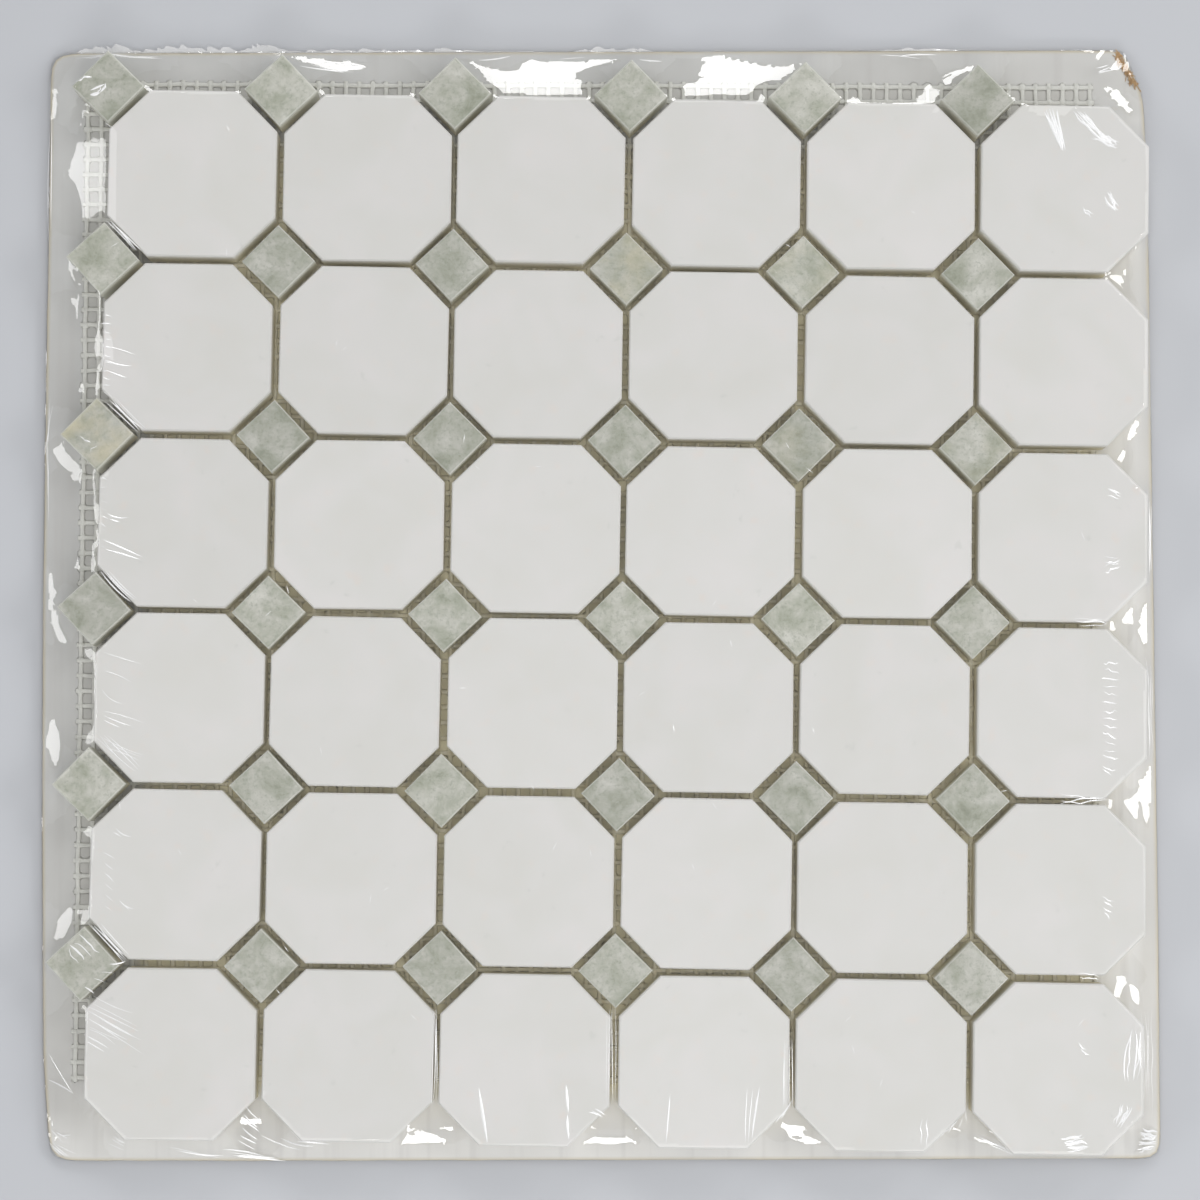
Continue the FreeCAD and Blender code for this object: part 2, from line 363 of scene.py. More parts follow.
def net_coat(name, pale):
    """Glass fibre under a milky coat, stained by the glue under the tiles and painted pale there: painted light
    deep in the joints.
    """
    material, tree, out = new_finish(name)
    place = object_place(tree)
    cloud = noise_of(tree, place, 400, 3, 0.6)
    milky = ramp(tree, cloud, [(0.35, srgb(*pale)), (0.65, srgb(*(value + 10 for value in pale)))])
    stained = ramp(tree, cloud, [(0.35, srgb(238, 230, 202)), (0.65, srgb(250, 245, 226))])
    # Under the tiles the coat is painted pale: glue tone and painted light deep in the joints.
    colour = mixed(tree, under_tiles(tree, place), milky, stained)
    surface(tree, out, colour, 0.4, noise_of(tree, place, 2600, 2, 0.5), 0.25, 0.1 * MM)
    return material


def card_liner():
    """White liner, painted darker and cooler at the upper left and paler at the lower right, front edge,
    notches and joints as painted shade and light; darker under the net; brown where cut or worn through."""
    material, tree, out = new_finish("card_liner")
    place = object_place(tree)
    parts = split(tree, place)
    cloud = noise_of(tree, place, 26, 4, 0.6)
    # Painted shade and light: a darker, cooler grey at the upper left and a paler, warmer one at the lower
    # right.
    shaded_cool = ramp(tree, cloud, [(0.3, srgb(190, 190, 188)), (0.7, srgb(202, 202, 200))])
    lit_warm = ramp(tree, cloud, [(0.3, srgb(209, 207, 202)), (0.7, srgb(214, 212, 208))])
    slanting = maths(tree, "ADD", parts["X"], times(tree, parts["Y"], -1.1))
    across = share_between(tree, slanting, -0.17, 0.16)
    sheet = mixed(tree, across, shaded_cool, lit_warm)
    # Painted light: the card is paler towards the front edge.
    front = share_between(tree, parts["Y"], -0.147, -0.156)
    lit = mixed(tree, times(tree, front, 0.6), sheet, srgb(232, 231, 228))
    # Painted light: the notches are paler, against the shade of the tiles round them. The notches, the darker
    # card under the net and the pale card under the tiles are on the upper face only.
    upper = maths(tree, "GREATER_THAN", parts["Z"], (BOARD_SEAT + BOARD_FACE) / 2)
    lit_notch = times(tree, times(tree, across, upper), tiled_field(tree, place, 0.5, -2.5))
    liner = mixed(tree, lit_notch, lit, srgb(223, 222, 220))
    # The flutes show through as faint lines up and down the sheet.
    along = add_node(tree, "ShaderNodeMapping")
    along.inputs["Scale"].default_value = (1, 0.03, 1)
    tree.links.new(place, along.inputs["Vector"])
    streak = noise_of(tree, along.outputs[0], 300, 2, 0.6)
    lined = mixed(tree, ramp(tree, streak, [(0.26, 0.3), (0.50, 0.0)]), liner, srgb(186, 183, 180))
    # The card is darker where the net lies.
    net = times(tree, under_net(tree, place), upper)
    darker_under_net = mixed(tree, times(tree, net, 0.4), lined, srgb(182, 180, 172))
    # Under the tiles the card is painted pale: glue tone and painted light deep in the joints.
    lit_glued = mixed(tree, times(tree, under_tiles(tree, place), upper), darker_under_net, srgb(246, 239, 210))
    fibres = noise_of(tree, place, 1500, 3, 0.6)
    brown = ramp(tree, fibres, [(0.3, srgb(150, 120, 84)), (0.7, srgb(200, 172, 134))])
    rim = add_node(tree, "ShaderNodeAttribute", attribute_name="rim").outputs["Fac"]
    tanned = mixed(tree, times(tree, rim, 0.8), lit_glued, srgb(196, 182, 146))
    bare = maths(tree, "GREATER_THAN", maths(tree, "ADD", rim, times(tree, fibres, 0.5)), 1.3)
    colour = mixed(tree, bare, tanned, brown)
    surface(tree, out, colour, 0.85, fibres, 0.2, 0.1 * MM, 0.25)
    return material


def kraft_card():
    """The brown core: flutes and torn fibres."""
    material, tree, out = new_finish("kraft_card")
    place = object_place(tree)
    fibres = noise_of(tree, place, 1300, 4, 0.65)
    colour = ramp(tree, fibres, [(0.3, srgb(146, 112, 74)), (0.55, srgb(184, 152, 110)),
                                 (0.75, srgb(212, 188, 150))])
    surface(tree, out, colour, 0.9, fibres, 0.3, 0.1 * MM, 0.2)
    return material


def blended(tree, share, first, second):
    """A mix of two shaders."""
    whole = add_node(tree, "ShaderNodeMixShader")
    for socket, source in zip(whole.inputs, (share, first, second)):
        feed(tree, socket, source)
    return whole.outputs[0]


def clear_film(name, haze=0.0, rough=0.03, head_on=0.085):
    """Clear film: what passes, a glossy face that grows to the rims the same
    from both sides and, where it is melted or creased, a milky share; on creases partly a painted highlight."""
    material, tree, out = new_finish(name)
    passed = add_node(tree, "ShaderNodeBsdfTransparent", {"Color": (0.992, 0.992, 0.99, 1)}).outputs[0]
    if haze:
        milk = add_node(tree, "ShaderNodeBsdfDiffuse", {"Color": (0.96, 0.96, 0.96, 1)}).outputs[0]
        passed = blended(tree, haze, passed, milk)
    gloss = add_node(tree, "ShaderNodeBsdfGlossy", {"Color": (1, 1, 1, 1), "Roughness": rough}).outputs[0]
    facing = add_node(tree, "ShaderNodeLayerWeight", {"Blend": 0.5}).outputs["Facing"]
    grown_share = maths(tree, "MULTIPLY_ADD", maths(tree, "POWER", facing, 5.0), 1 - head_on, head_on)
    tree.links.new(blended(tree, grown_share, passed, gloss), out.inputs["Surface"])
    return material


WHITE_MARBLE = white_marble()
GREEN_MARBLE = green_marble()
STRAND_COAT = net_coat("strand_coat", (208, 208, 202))
BEAD_COAT = net_coat("bead_coat", (206, 206, 200))
CARD_LINER = card_liner()
KRAFT_CARD = kraft_card()
FILM = clear_film("clear_film")
# Creases are nearly all milky white: the film's whitening, and partly a painted highlight for their glints.
CREASED_FILM = clear_film("creased_film", 0.92, 0.2, 0.12)
MELTED_FILM = clear_film("melted_film", 0.34, 0.12)

TILE_NODES = {name: node for name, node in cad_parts.items() if name.startswith(("octagon", "dots"))}

for name, node in TILE_NODES.items():
    node.data.materials.clear()
    node.data.materials.append(WHITE_MARBLE if name.startswith("octagon") else GREEN_MARBLE)


# Lines in the plane

# A line of this many points on each run is smoothed once more.
SMOOTHED_AT = 160


def board_line(steps, grow=0.0, relief=None):
    """Points round the board, anticlockwise, with so many on each of the four
    runs, grown outwards by a length and by a relief for each point."""
    path = []
    for number, run in enumerate(BOARD_RUNS):
        knots = np.array(run + (BOARD_RUNS[(number + 1) % 4][0],), float) * MM
        reach = np.concatenate(([0], np.cumsum(np.linalg.norm(np.diff(knots, axis=0), axis=1))))
        places = np.arange(steps) / steps * reach[-1]
        path.append(np.stack([np.interp(places, reach, knots[:, axis]) for axis in (0, 1)], axis=1))
    path = np.concatenate(path)
    for _ in range(max(1, steps // SMOOTHED_AT)):
        path = (np.roll(path, 1, axis=0) + 2 * path + np.roll(path, -1, axis=0)) / 4
    way = np.roll(path, -1, axis=0) - np.roll(path, 1, axis=0)
    way /= np.linalg.norm(way, axis=1)[:, None]
    outward = np.stack((way[:, 1], -way[:, 0]), axis=1)
    amount = np.full(len(path), float(grow)) + (0 if relief is None else relief(path))
    return path + outward * amount[:, None]


def square_line(steps, half):
    """Points round a square, in the same order as the board's line."""
    corners = np.array(((-1, -1), (1, -1), (1, 1), (-1, 1)), float) * half
    shares = np.arange(steps)[:, None] / steps
    return np.concatenate([start + (end - start) * shares
                           for start, end in zip(corners, np.roll(corners, -1, axis=0))])


def within(outline, x, y):
    """Whether points lie inside a closed line."""
    kept = np.zeros(x.shape, bool)
    for (x0, y0), (x1, y1) in zip(outline, np.roll(outline, -1, axis=0)):
        crossed = (y0 > y) != (y1 > y)
        if crossed.any():
            kept ^= crossed & (x < (x1 - x0) * (y - y0) / (y1 - y0) + x0)
    return kept


# Limits the wrong way round, so that nothing lies between them.
MISSED = (1.0, -1.0)


def row_limits(path, levels, axis=1):
    """Least and greatest crossing of a closed line at levels along one axis."""
    ahead = np.roll(path, -1, axis=0)
    limits = []
    for level in levels:
        crossed = (path[:, axis] > level) != (ahead[:, axis] > level)
        if not crossed.any():
            limits.append(MISSED)
            continue
        here, there = path[crossed], ahead[crossed]
        share = (level - here[:, axis]) / (there[:, axis] - here[:, axis])
        places = here[:, 1 - axis] + share * (there[:, 1 - axis] - here[:, 1 - axis])
        limits.append((places.min(), places.max()))
    return np.array(limits)


def upper_corners(name):
    """The corners of each tile face in turn order, for the tiles of one node."""
    vertices = TILE_NODES[name].data.vertices
    points = np.empty(len(vertices) * 3)
    vertices.foreach_get("co", points)
    points = points.reshape(-1, 3)
    top = np.unique(np.round(points[points[:, 2] > TILE_FACE - 0.01 * MM][:, :2], 6), axis=0)
    keys = np.zeros(len(top), int)
    if name.startswith("dots"):
        keys = np.round(to_grid(top)[:, 0] / PITCH).astype(int)
    tiles = []
    for key in np.unique(keys):
        corners = top[keys == key]
        middle = corners.mean(axis=0)
        tiles.append(corners[np.argsort(np.arctan2(corners[:, 1] - middle[1], corners[:, 0] - middle[0]))])
    return tiles


TILE_OUTLINES = [tile for name in TILE_NODES for tile in upper_corners(name)]


# The film's height over board and tiles, as a stretched skin

# Places where the skin lies flatter and catches a window: the way that they
# face, the slope that they have, and their outlines in millimetres.
GLINTS = (
    ((0, 1), 0.36, (
        ((-91.9, 160.2), (-81.6, 159.2), (-71.7, 158.1), (-67.3, 156.9), (-69.9, 155.7), (-75.2, 155.4),
         (-79.6, 156.3), (-88.4, 159.0)),
        ((-41.5, 158.6), (-37.7, 158.3), (-34.8, 157.1), (-31.8, 155.6), (-28.3, 155.0), (-22.8, 155.0),
         (-22.2, 157.6), (-20.7, 158.2), (-7.8, 157.8), (1.0, 158.2), (9.2, 158.4), (1.6, 157.0),
         (-3.4, 156.1), (-6.1, 154.6), (-6.9, 152.2), (-6.1, 149.9), (-3.2, 147.2), (-27.5, 147.6),
         (-28.9, 149.6), (-31.8, 151.1), (-33.0, 153.5), (-35.4, 155.9), (-38.6, 157.7)),
        ((30.6, 160.2), (37.6, 159.8), (42.6, 158.0), (47.9, 156.8), (53.7, 155.6), (60.5, 156.8),
         (56.6, 153.6), (53.7, 151.8), (49.3, 151.5), (45.5, 150.9), (43.4, 149.7), (44.3, 147.4),
         (25.2, 146.8), (27.3, 148.6), (30.2, 150.4), (31.4, 152.7), (30.6, 155.1), (31.2, 157.5)),
        ((99.1, 151.1), (102.0, 152.8), (105.0, 154.3), (111.1, 155.8), (108.8, 153.7), (103.5, 152.5)),
    )),
    ((-1, 0), 0.40, (
        ((-148.8, 133.4), (-142.1, 134.5), (-142.3, 123.0), (-143.5, 118.6), (-145.2, 114.2), (-147.5, 110.6),
         (-149.0, 111.2), (-149.9, 115.7), (-151.1, 120.1), (-152.2, 122.5), (-154.6, 124.2), (-153.5, 129.0),
         (-151.2, 132.5)),
        ((-153.5, 98.9), (-152.4, 98.0), (-150.9, 93.6), (-151.4, 91.2), (-152.9, 94.8)),
        ((-160.4, 46.4), (-155.7, 47.3), (-154.6, 43.8), (-151.9, 40.8), (-150.2, 39.7), (-153.4, 37.9),
         (-156.3, 39.4), (-159.2, 43.2)),
        ((-159.5, 8.2), (-158.3, 4.4), (-156.8, 2.4), (-158.0, -0.8), (-155.9, -7.2), (-153.5, -12.1),
         (-156.7, -11.5), (-159.1, -5.7), (-160.0, 1.5)),
        ((-159.7, -35.2), (-158.6, -34.7), (-156.2, -39.0), (-155.6, -43.9), (-156.4, -48.5), (-159.1, -45.3),
         (-160.3, -41.9)),
        ((-155.2, -90.8), (-153.0, -89.6), (-151.8, -92.8), (-153.5, -97.1), (-157.2, -97.9)),
    )),
    ((1, 0), 0.40, (
        ((157.6, 104.5), (157.0, 101.5), (154.0, 99.5), (152.9, 100.7)),
        ((157.2, 54.0), (156.3, 48.7), (154.8, 45.2), (152.4, 45.5), (154.0, 50.2)),
        ((155.0, -2.3), (154.1, -5.2), (156.3, -8.1), (154.6, -8.7), (150.8, -7.2), (152.6, -4.3)),
        ((157.6, -3.2), (159.3, -0.9), (159.5, -12.5), (158.3, -14.8), (156.3, -9.6)),
        ((155.4, -55.8), (156.2, -58.7), (154.7, -64.5), (150.7, -58.7), (153.3, -57.8)),
        ((158.1, -50.6), (159.8, -48.6), (159.7, -58.7), (158.4, -66.8), (156.5, -58.7), (156.3, -52.9)),
        ((152.6, -111.8), (155.4, -113.2), (154.8, -117.5), (152.5, -116.1)),
    )),
    ((0.73, 0.68), 0.34, (
        ((148.1, 93.9), (151.9, 94.5), (153.6, 91.2), (156.8, 85.9), (159.1, 82.7), (153.9, 88.3)),
        ((149.3, 149.4), (152.7, 149.7), (155.7, 146.0), (157.1, 142.2), (155.1, 141.7), (150.9, 145.6)),
    )),
    ((0, -1), 0.43, (
        ((-55.0, -151.6), (-48.7, -152.8), (-43.8, -156.2), (-57.3, -156.2)),
        ((-5.7, -156.3), (-2.3, -154.6), (0.0, -154.1), (7.2, -154.1), (11.8, -156.4)),
        ((54.5, -154.8), (60.8, -154.8), (65.9, -156.8), (57.3, -156.2)),
        ((104.6, -153.9), (108.9, -155.3), (113.8, -157.3), (109.5, -156.6)),
    )),
    ((-0.95, -0.3), 0.41, (
        ((-160.3, 151.5), (-159.0, 151.0), (-158.8, 143.0), (-160.1, 141.5)),
    )),
    ((-1, 0), 0.12, (
        ((-151.0, 136.4), (-149.5, 141.9), (-142.0, 138.0), (-142.0, 135.5)),
    )),
    ((-1, 0), 0.64, (
        ((-151.5, 90.0), (-144.5, 90.0), (-144.0, 78.0), (-151.0, 79.0)),
        ((-149.5, 66.0), (-144.5, 66.0), (-145.5, 59.5), (-149.0, 60.0)),
        ((-150.0, 38.0), (-146.0, 38.0), (-145.3, 28.5), (-149.5, 29.0)),
        ((-150.5, 15.0), (-145.5, 15.0), (-146.5, 8.5), (-150.0, 9.0)),
    )),
    ((0, -1), 0.10, (
        ((-53.0, -147.9), (-45.5, -147.9), (-44.5, -151.0), (-54.2, -151.0)),
        ((-0.3, -148.0), (8.7, -148.0), (9.9, -151.6), (-1.2, -151.6)),
        ((103.9, -149.2), (110.9, -149.2), (111.6, -152.8), (102.8, -152.8)),
    )),
)

FIELD_STEP = 0.5 * MM
FIELD_HALF = 325
FIELD_AXIS = np.arange(-FIELD_HALF, FIELD_HALF + 1) * FIELD_STEP
FILM_LIFT = 0.03 * MM
BOARD_LIFT = 0.1 * MM
HELD_EDGE = 0.4 * FIELD_STEP
GLINT_HOLD = 40.0
# The skin starts flat between board and tiles and settles in passes, each of
# which overshoots to get there sooner.
SKIN_START = 0.6 * TILE_FACE
SKIN_PASSES = 600
SKIN_STEP = 1.88
CALM_PASSES = 3


def stretched_skin():
    """Height of a tight skin held at the board's edge and lifted by the tiles,
    and where it lies calm enough to catch a window."""
    x, y = np.meshgrid(FIELD_AXIS, FIELD_AXIS, indexing="ij")
    limits = row_limits(board_line(400), FIELD_AXIS)
    free = (x > limits[:, 0] + HELD_EDGE) & (x < limits[:, 1] - HELD_EDGE)
    floor = np.where(free, BOARD_FACE + BOARD_LIFT, BOARD_FACE)

    def window(outline):
        low = np.searchsorted(FIELD_AXIS, outline.min(axis=0)) - 1
        high = np.searchsorted(FIELD_AXIS, outline.max(axis=0)) + 1
        return slice(max(low[0], 0), high[0]), slice(max(low[1], 0), high[1])

    for outline in TILE_OUTLINES:
        part = window(outline)
        floor[part][within(outline, x[part], y[part])] = TILE_FACE + FILM_LIFT
    hold = np.ones_like(x)
    pull = np.zeros((2,) + x.shape)
    for (way_x, way_y), slope, outlines in GLINTS:
        for outline in outlines:
            outline = np.array(outline) * MM
            part = window(outline)
            picked = within(outline, x[part], y[part])
            hold[part][picked] = GLINT_HOLD
            pull[0][part][picked] = -slope * way_x * FIELD_STEP
            pull[1][part][picked] = -slope * way_y * FIELD_STEP
    free &= floor < TILE_FACE
    # Links from each place to the next one in x and in y.
    hold_x, hold_y = (hold[:-1] + hold[1:]) / 2, (hold[:, :-1] + hold[:, 1:]) / 2
    rise_x, rise_y = (pull[0][:-1] + pull[0][1:]) / 2, (pull[1][:, :-1] + pull[1][:, 1:]) / 2
    east, west = hold_x[1:, 1:-1], hold_x[:-1, 1:-1]
    north, south = hold_y[1:-1, 1:], hold_y[1:-1, :-1]
    fixed = (west * rise_x[:-1, 1:-1] - east * rise_x[1:, 1:-1]
             + south * rise_y[1:-1, :-1] - north * rise_y[1:-1, 1:])
    whole = east + west + north + south
    height = np.where(free, np.maximum(floor, SKIN_START), floor)
    order = np.add.outer(np.arange(len(FIELD_AXIS)), np.arange(len(FIELD_AXIS)))[1:-1, 1:-1] % 2
    inner = height[1:-1, 1:-1]
    inner_floor = floor[1:-1, 1:-1]
    steps = [free[1:-1, 1:-1] * (order == side) * SKIN_STEP for side in (0, 1)]
    for _ in range(SKIN_PASSES):
        for step in steps:
            mean = (east * height[2:, 1:-1] + west * height[:-2, 1:-1] + north * height[1:-1, 2:]
                    + south * height[1:-1, :-2] + fixed) / whole
            inner += step * (mean - inner)
            np.maximum(inner, inner_floor, out=inner)
    calm = (hold > 1).astype(float)
    for _ in range(CALM_PASSES):
        for axis in (0, 1):
            calm = (np.roll(calm, 1, axis) + calm + np.roll(calm, -1, axis)) / 3
    return height, calm


SKIN, CALM = stretched_skin()


def field_at(field, x, y):
    """A field's value at points, by straight-line blending."""
    across = np.clip((np.asarray(x) - FIELD_AXIS[0]) / FIELD_STEP, 0, len(FIELD_AXIS) - 1.001)
    along = np.clip((np.asarray(y) - FIELD_AXIS[0]) / FIELD_STEP, 0, len(FIELD_AXIS) - 1.001)
    i, j = across.astype(int), along.astype(int)
    u, v = across - i, along - j
    return ((1 - u) * (1 - v) * field[i, j] + u * (1 - v) * field[i + 1, j]
            + (1 - u) * v * field[i, j + 1] + u * v * field[i + 1, j + 1])


def skin_height(x, y):
    return field_at(SKIN, x, y)


# Camera at the photograph's place

# Place in metres and turn in degrees, as fitted to the tile joints.
CAMERA_PLACE = (-0.001052, -0.05763, 0.91165)
CAMERA_TURN = (3.6255, -0.0868, -0.1767)
CAMERA_LENS = 93.718
CAMERA_SENSOR = 36

camera_data = bpy.data.cameras.new("camera")
camera_data.lens = CAMERA_LENS
camera_data.sensor_width = CAMERA_SENSOR
camera_data.clip_start = 0.01
camera = bpy.data.objects.new("camera", camera_data)
camera.location = CAMERA_PLACE
camera.rotation_euler = [math.radians(angle) for angle in CAMERA_TURN]
scene.collection.objects.link(camera)
scene.camera = camera


# Rings of points, each a list of numbers, joined into one shell

class Shell:
    """Points and faces of a shell that grows ring by ring in one direction,
    with each face turned outwards when rings go anticlockwise and upwards."""

    def __init__(self):
        self.points = []
        self.faces = []

    def ring(self, plane, height):
        first = len(self.points)
        heights = np.broadcast_to(height, len(plane))
        self.points += [(x, y, z) for (x, y), z in zip(plane, heights)]
        return list(range(first, len(self.points)))

    def band(self, start, end):
        count = len(start)
        for here in range(count):
            ahead = (here + 1) % count
            self.faces.append((start[here], start[ahead], end[ahead], end[here]))

    def gather(self, fine, coarse):
        """Joins a ring to one of a third as many points, inwards over the top."""
        count = len(coarse)
        for here in range(count):
            ahead = (here + 1) % count
            a, b, c, d = (fine[(3 * here + step) % len(fine)] for step in range(4))
            self.faces += [(a, b, coarse[here]), (b, c, coarse[ahead], coarse[here]), (c, d, coarse[ahead])]

    def spread(self, coarse, fine):
        """Joins a ring to one of three times as many, outwards underneath."""
        first = len(self.faces)
        self.gather(fine, coarse)
        self.faces[first:] = [tuple(reversed(face)) for face in self.faces[first:]]

    def field(self, steps, half, height_of, upward):
        """A square of cells; gives its border as a ring."""
        axis = (np.arange(steps + 1) / steps * 2 - 1) * half
        first = len(self.points)
        x, y = np.meshgrid(axis, axis, indexing="ij")
        for place_x, place_y, z in zip(x.ravel(), y.ravel(), np.broadcast_to(height_of(x, y), x.shape).ravel()):
            self.points.append((place_x, place_y, z))

        def at(i, j):
            return first + i * (steps + 1) + j

        for i in range(steps):
            for j in range(steps):
                face = (at(i, j), at(i + 1, j), at(i + 1, j + 1), at(i, j + 1))
                self.faces.append(face if upward else tuple(reversed(face)))
        return ([at(i, 0) for i in range(steps)] + [at(steps, j) for j in range(steps)]
                + [at(i, steps) for i in range(steps, 0, -1)] + [at(0, j) for j in range(steps, 0, -1)])


# Shrink film: a closed bag, tight over the tiles and round the board

SIDE_FINE = 486
SIDE_MIDDLE = 162
SIDE_COARSE = 54
INNER_HALF = 132 * MM
# The rim with its bumps lies past this place, and the pleats fan out from a
# place nearer to the middle.
RIM_FROM = 150 * MM
RIM_WIDE = 12 * MM
FAN_FROM = 140 * MM
PLEATS = 34
PLEAT_REACH = 18 * MM
# Rings up the board's edge: outwards, height, both in millimetres, and the
# share of the bumps. Then shares of the way in over the margin and the tiles.
EDGE_RINGS = ((0.04, 0.08, 0.3), (0.10, 0.6, 0.7), (0.04, 1.4, 1.0), (0.10, 2.1, 1.0))
INWARD_SHARES = [0.0, 0.01] + [0.03 + 0.0215 * step for step in range(29)]


def edge_bumps(path):
    """The melted edge stands out in bumps along the top and the upper left."""
    bumps = []
    for x, y in path:
        top = max(0.0, (y - RIM_FROM) / RIM_WIDE) * max(0.25, min(1.0, (0.02 - x) / 0.12))
        left = max(0.0, (-RIM_FROM - x) / RIM_WIDE) * max(0.2, min(1.0, (y + 0.02) / 0.12))
        bump = 0.5 + 0.5 * ripple(x, y, 5 * MM, 2.0) + 0.35 * ripple(x, y, 1.7 * MM, 4.0)
        bumps.append(max(0.0, bump) * (0.5 * top + 0.3 * left) * MM)
    return np.array(bumps)


def film_wave(x, y, z):
    """Small waves where the film spans free, and pleats at the corners."""
    if z > TILE_FACE:
        return 0.0
    wave = 0.10 * ripple(x, y, 6 * MM, 1.0) + 0.035 * ripple(x, y, 2.2 * MM, 5.0)
    across, along = abs(x) - FAN_FROM, abs(y) - FAN_FROM
    if across > 0 and along > 0:
        corner = math.hypot(RIM_FROM - abs(x), RIM_FROM - abs(y))
        fan = math.sin(math.atan2(along, across) * PLEATS + 3 * ripple(x, y, 9 * MM, 7.0))
        wave += 0.16 * fan * max(0.0, 1 - corner / PLEAT_REACH)
    return wave * MM


def film_bag():
    """The whole bag in rings of points, finer at the rim than in the middle."""
    shell = Shell()
    # Underneath, from the middle outwards.
    below = shell.field(SIDE_COARSE, INNER_HALF, lambda x, y: 0.0, upward=False)
    ring = shell.ring(board_line(SIDE_COARSE) * 0.92, 0.0)
    shell.band(below, ring)
    finer = shell.ring(board_line(SIDE_MIDDLE) * 0.97, 0.0)
    shell.spread(ring, finer)
    last = shell.ring(board_line(SIDE_FINE, -1.2 * MM), 0.0)
    shell.spread(finer, last)
    # Up the edge of the board.
    for grow, height, share in EDGE_RINGS:
        path = board_line(SIDE_FINE, grow * MM, lambda line: share * edge_bumps(line))
        ring = shell.ring(path, [height * MM + 0.12 * MM * ripple(x, y, 3 * MM, height) for x, y in path])
        shell.band(last, ring)
        last = ring
    # In over the margins and the tile faces.
    outer = board_line(SIDE_FINE, 0.05 * MM, lambda line: 0.6 * edge_bumps(line))
    inner = square_line(SIDE_FINE, INNER_HALF)
    for share in INWARD_SHARES:
        plane = outer * (1 - share) + inner * share
        height, waves = np.full(len(plane), BOARD_FACE), 0.0
        if share:
            height = skin_height(*plane.T)
            waves = np.array([film_wave(x, y, z) for (x, y), z in zip(plane, height)])
            waves *= 1 - 0.9 * field_at(CALM, *plane.T)
        ring = shell.ring(plane, height + np.abs(waves) if share < 0.04 else height + waves)
        shell.band(last, ring)
        last = ring
    for steps, share in ((SIDE_MIDDLE, 0.74), (SIDE_COARSE, 0.88)):
        plane = board_line(steps) * (1 - share) + square_line(steps, INNER_HALF) * share
        ring = shell.ring(plane, skin_height(*plane.T))
        shell.gather(last, ring)
        last = ring
    above = shell.field(SIDE_COARSE, INNER_HALF, upward=True,
                        height_of=lambda x, y: np.maximum(skin_height(x, y), TILE_FACE))
    shell.band(last, above)
    piece = new_object("film_bag", shell.points, shell.faces, FILM)
    piece.data.set_sharp_from_angle(angle=math.radians(20))
    return piece


handed_over(film_bag(), "clear_film", "shrink_film")


# Trees that make what repeats

def new_tree(name, inputs):
    """A geometry tree with its named inputs, its entry and its exit."""
    tree = bpy.data.node_groups.new(name, "GeometryNodeTree")
    tree.interface.new_socket("Geometry", in_out="INPUT", socket_type="NodeSocketGeometry")
    for label, kind, value in inputs:
        tree.interface.new_socket(label, in_out="INPUT", socket_type="NodeSocket" + kind).default_value = value
    tree.interface.new_socket("Geometry", in_out="OUTPUT", socket_type="NodeSocketGeometry")
    entry = tree.nodes.new("NodeGroupInput").outputs
    leave = tree.nodes.new("NodeGroupOutput").inputs[0]
    return tree, entry, leave


def joined(tree, node, **sources):
    """Feeds a node's inputs by name, with underscores for spaces."""
    for name, source in sources.items():
        feed(tree, node.inputs[name.replace("_", " ")], source)
    return node.outputs[0]


def grown(name, tree, values, seed=None):
    """Runs a tree once and gives its result as a plain mesh object."""
    holder = bpy.data.objects.new(name + "_seed", seed or bpy.data.meshes.new(name + "_seed"))
    scene.collection.objects.link(holder)
    modifier = holder.modifiers.new("grow", "NODES")
    modifier.node_group = tree
    for item in tree.interface.items_tree:
        if item.in_out == "INPUT" and item.name in values:
            modifier[item.identifier] = values[item.name]
    graph = bpy.context.evaluated_depsgraph_get()
    mesh = bpy.data.meshes.new_from_object(holder.evaluated_get(graph))
    bpy.data.objects.remove(holder)
    return placed(name, mesh)


def finished(tree, geometry, smooth, finish, leave):
    """The end of every tree: real geometry, its shading and its finish."""
    real = joined(tree, add_node(tree, "GeometryNodeRealizeInstances"), Geometry=geometry)
    shaded = joined(tree, add_node(tree, "GeometryNodeSetShadeSmooth"), Geometry=real, Shade_Smooth=smooth)
    coated = joined(tree, add_node(tree, "GeometryNodeSetMaterial"), Geometry=shaded, Material=finish)
    tree.links.new(coated, leave)
    return tree


def flat_ring(tree, sides, wide, thick, turn=0.0):
    """A closed outline for a strand, so many sided, wide and thick."""
    circle = joined(tree, add_node(tree, "GeometryNodeCurvePrimitiveCircle", mode="RADIUS"), Resolution=sides,
                    Radius=0.5)
    pointed = joined(tree, add_node(tree, "GeometryNodeTransform"), Geometry=circle, Rotation=(0, 0, turn))
    size = add_node(tree, "ShaderNodeCombineXYZ", {"Z": 1.0})
    feed(tree, size.inputs["X"], wide)
    feed(tree, size.inputs["Y"], thick)
    return joined(tree, add_node(tree, "GeometryNodeTransform"), Geometry=pointed, Scale=size.outputs[0])


def laid_down(tree, geometry, height):
    """Moves net geometry, made from its first crossing, to where it lies."""
    middled = joined(tree, add_node(tree, "GeometryNodeTransform"), Geometry=geometry,
                     Translation=(-NET_WIDE / 2, -NET_LONG / 2, 0))
    return joined(tree, add_node(tree, "GeometryNodeTransform"), Geometry=middled,
                  Translation=(NET_MIDDLE[0], NET_MIDDLE[1], height), Rotation=(0, 0, NET_TURN))


NET_GAP = (NET_WIDE / (NET_COLUMNS - 1), NET_LONG / (NET_ROWS - 1))
NET_HEIGHT = BOARD_FACE + STRAND_THICK
NET_LIFT = 0.07 * MM
BEAD_HEIGHT = BOARD_FACE + 0.03 * MM


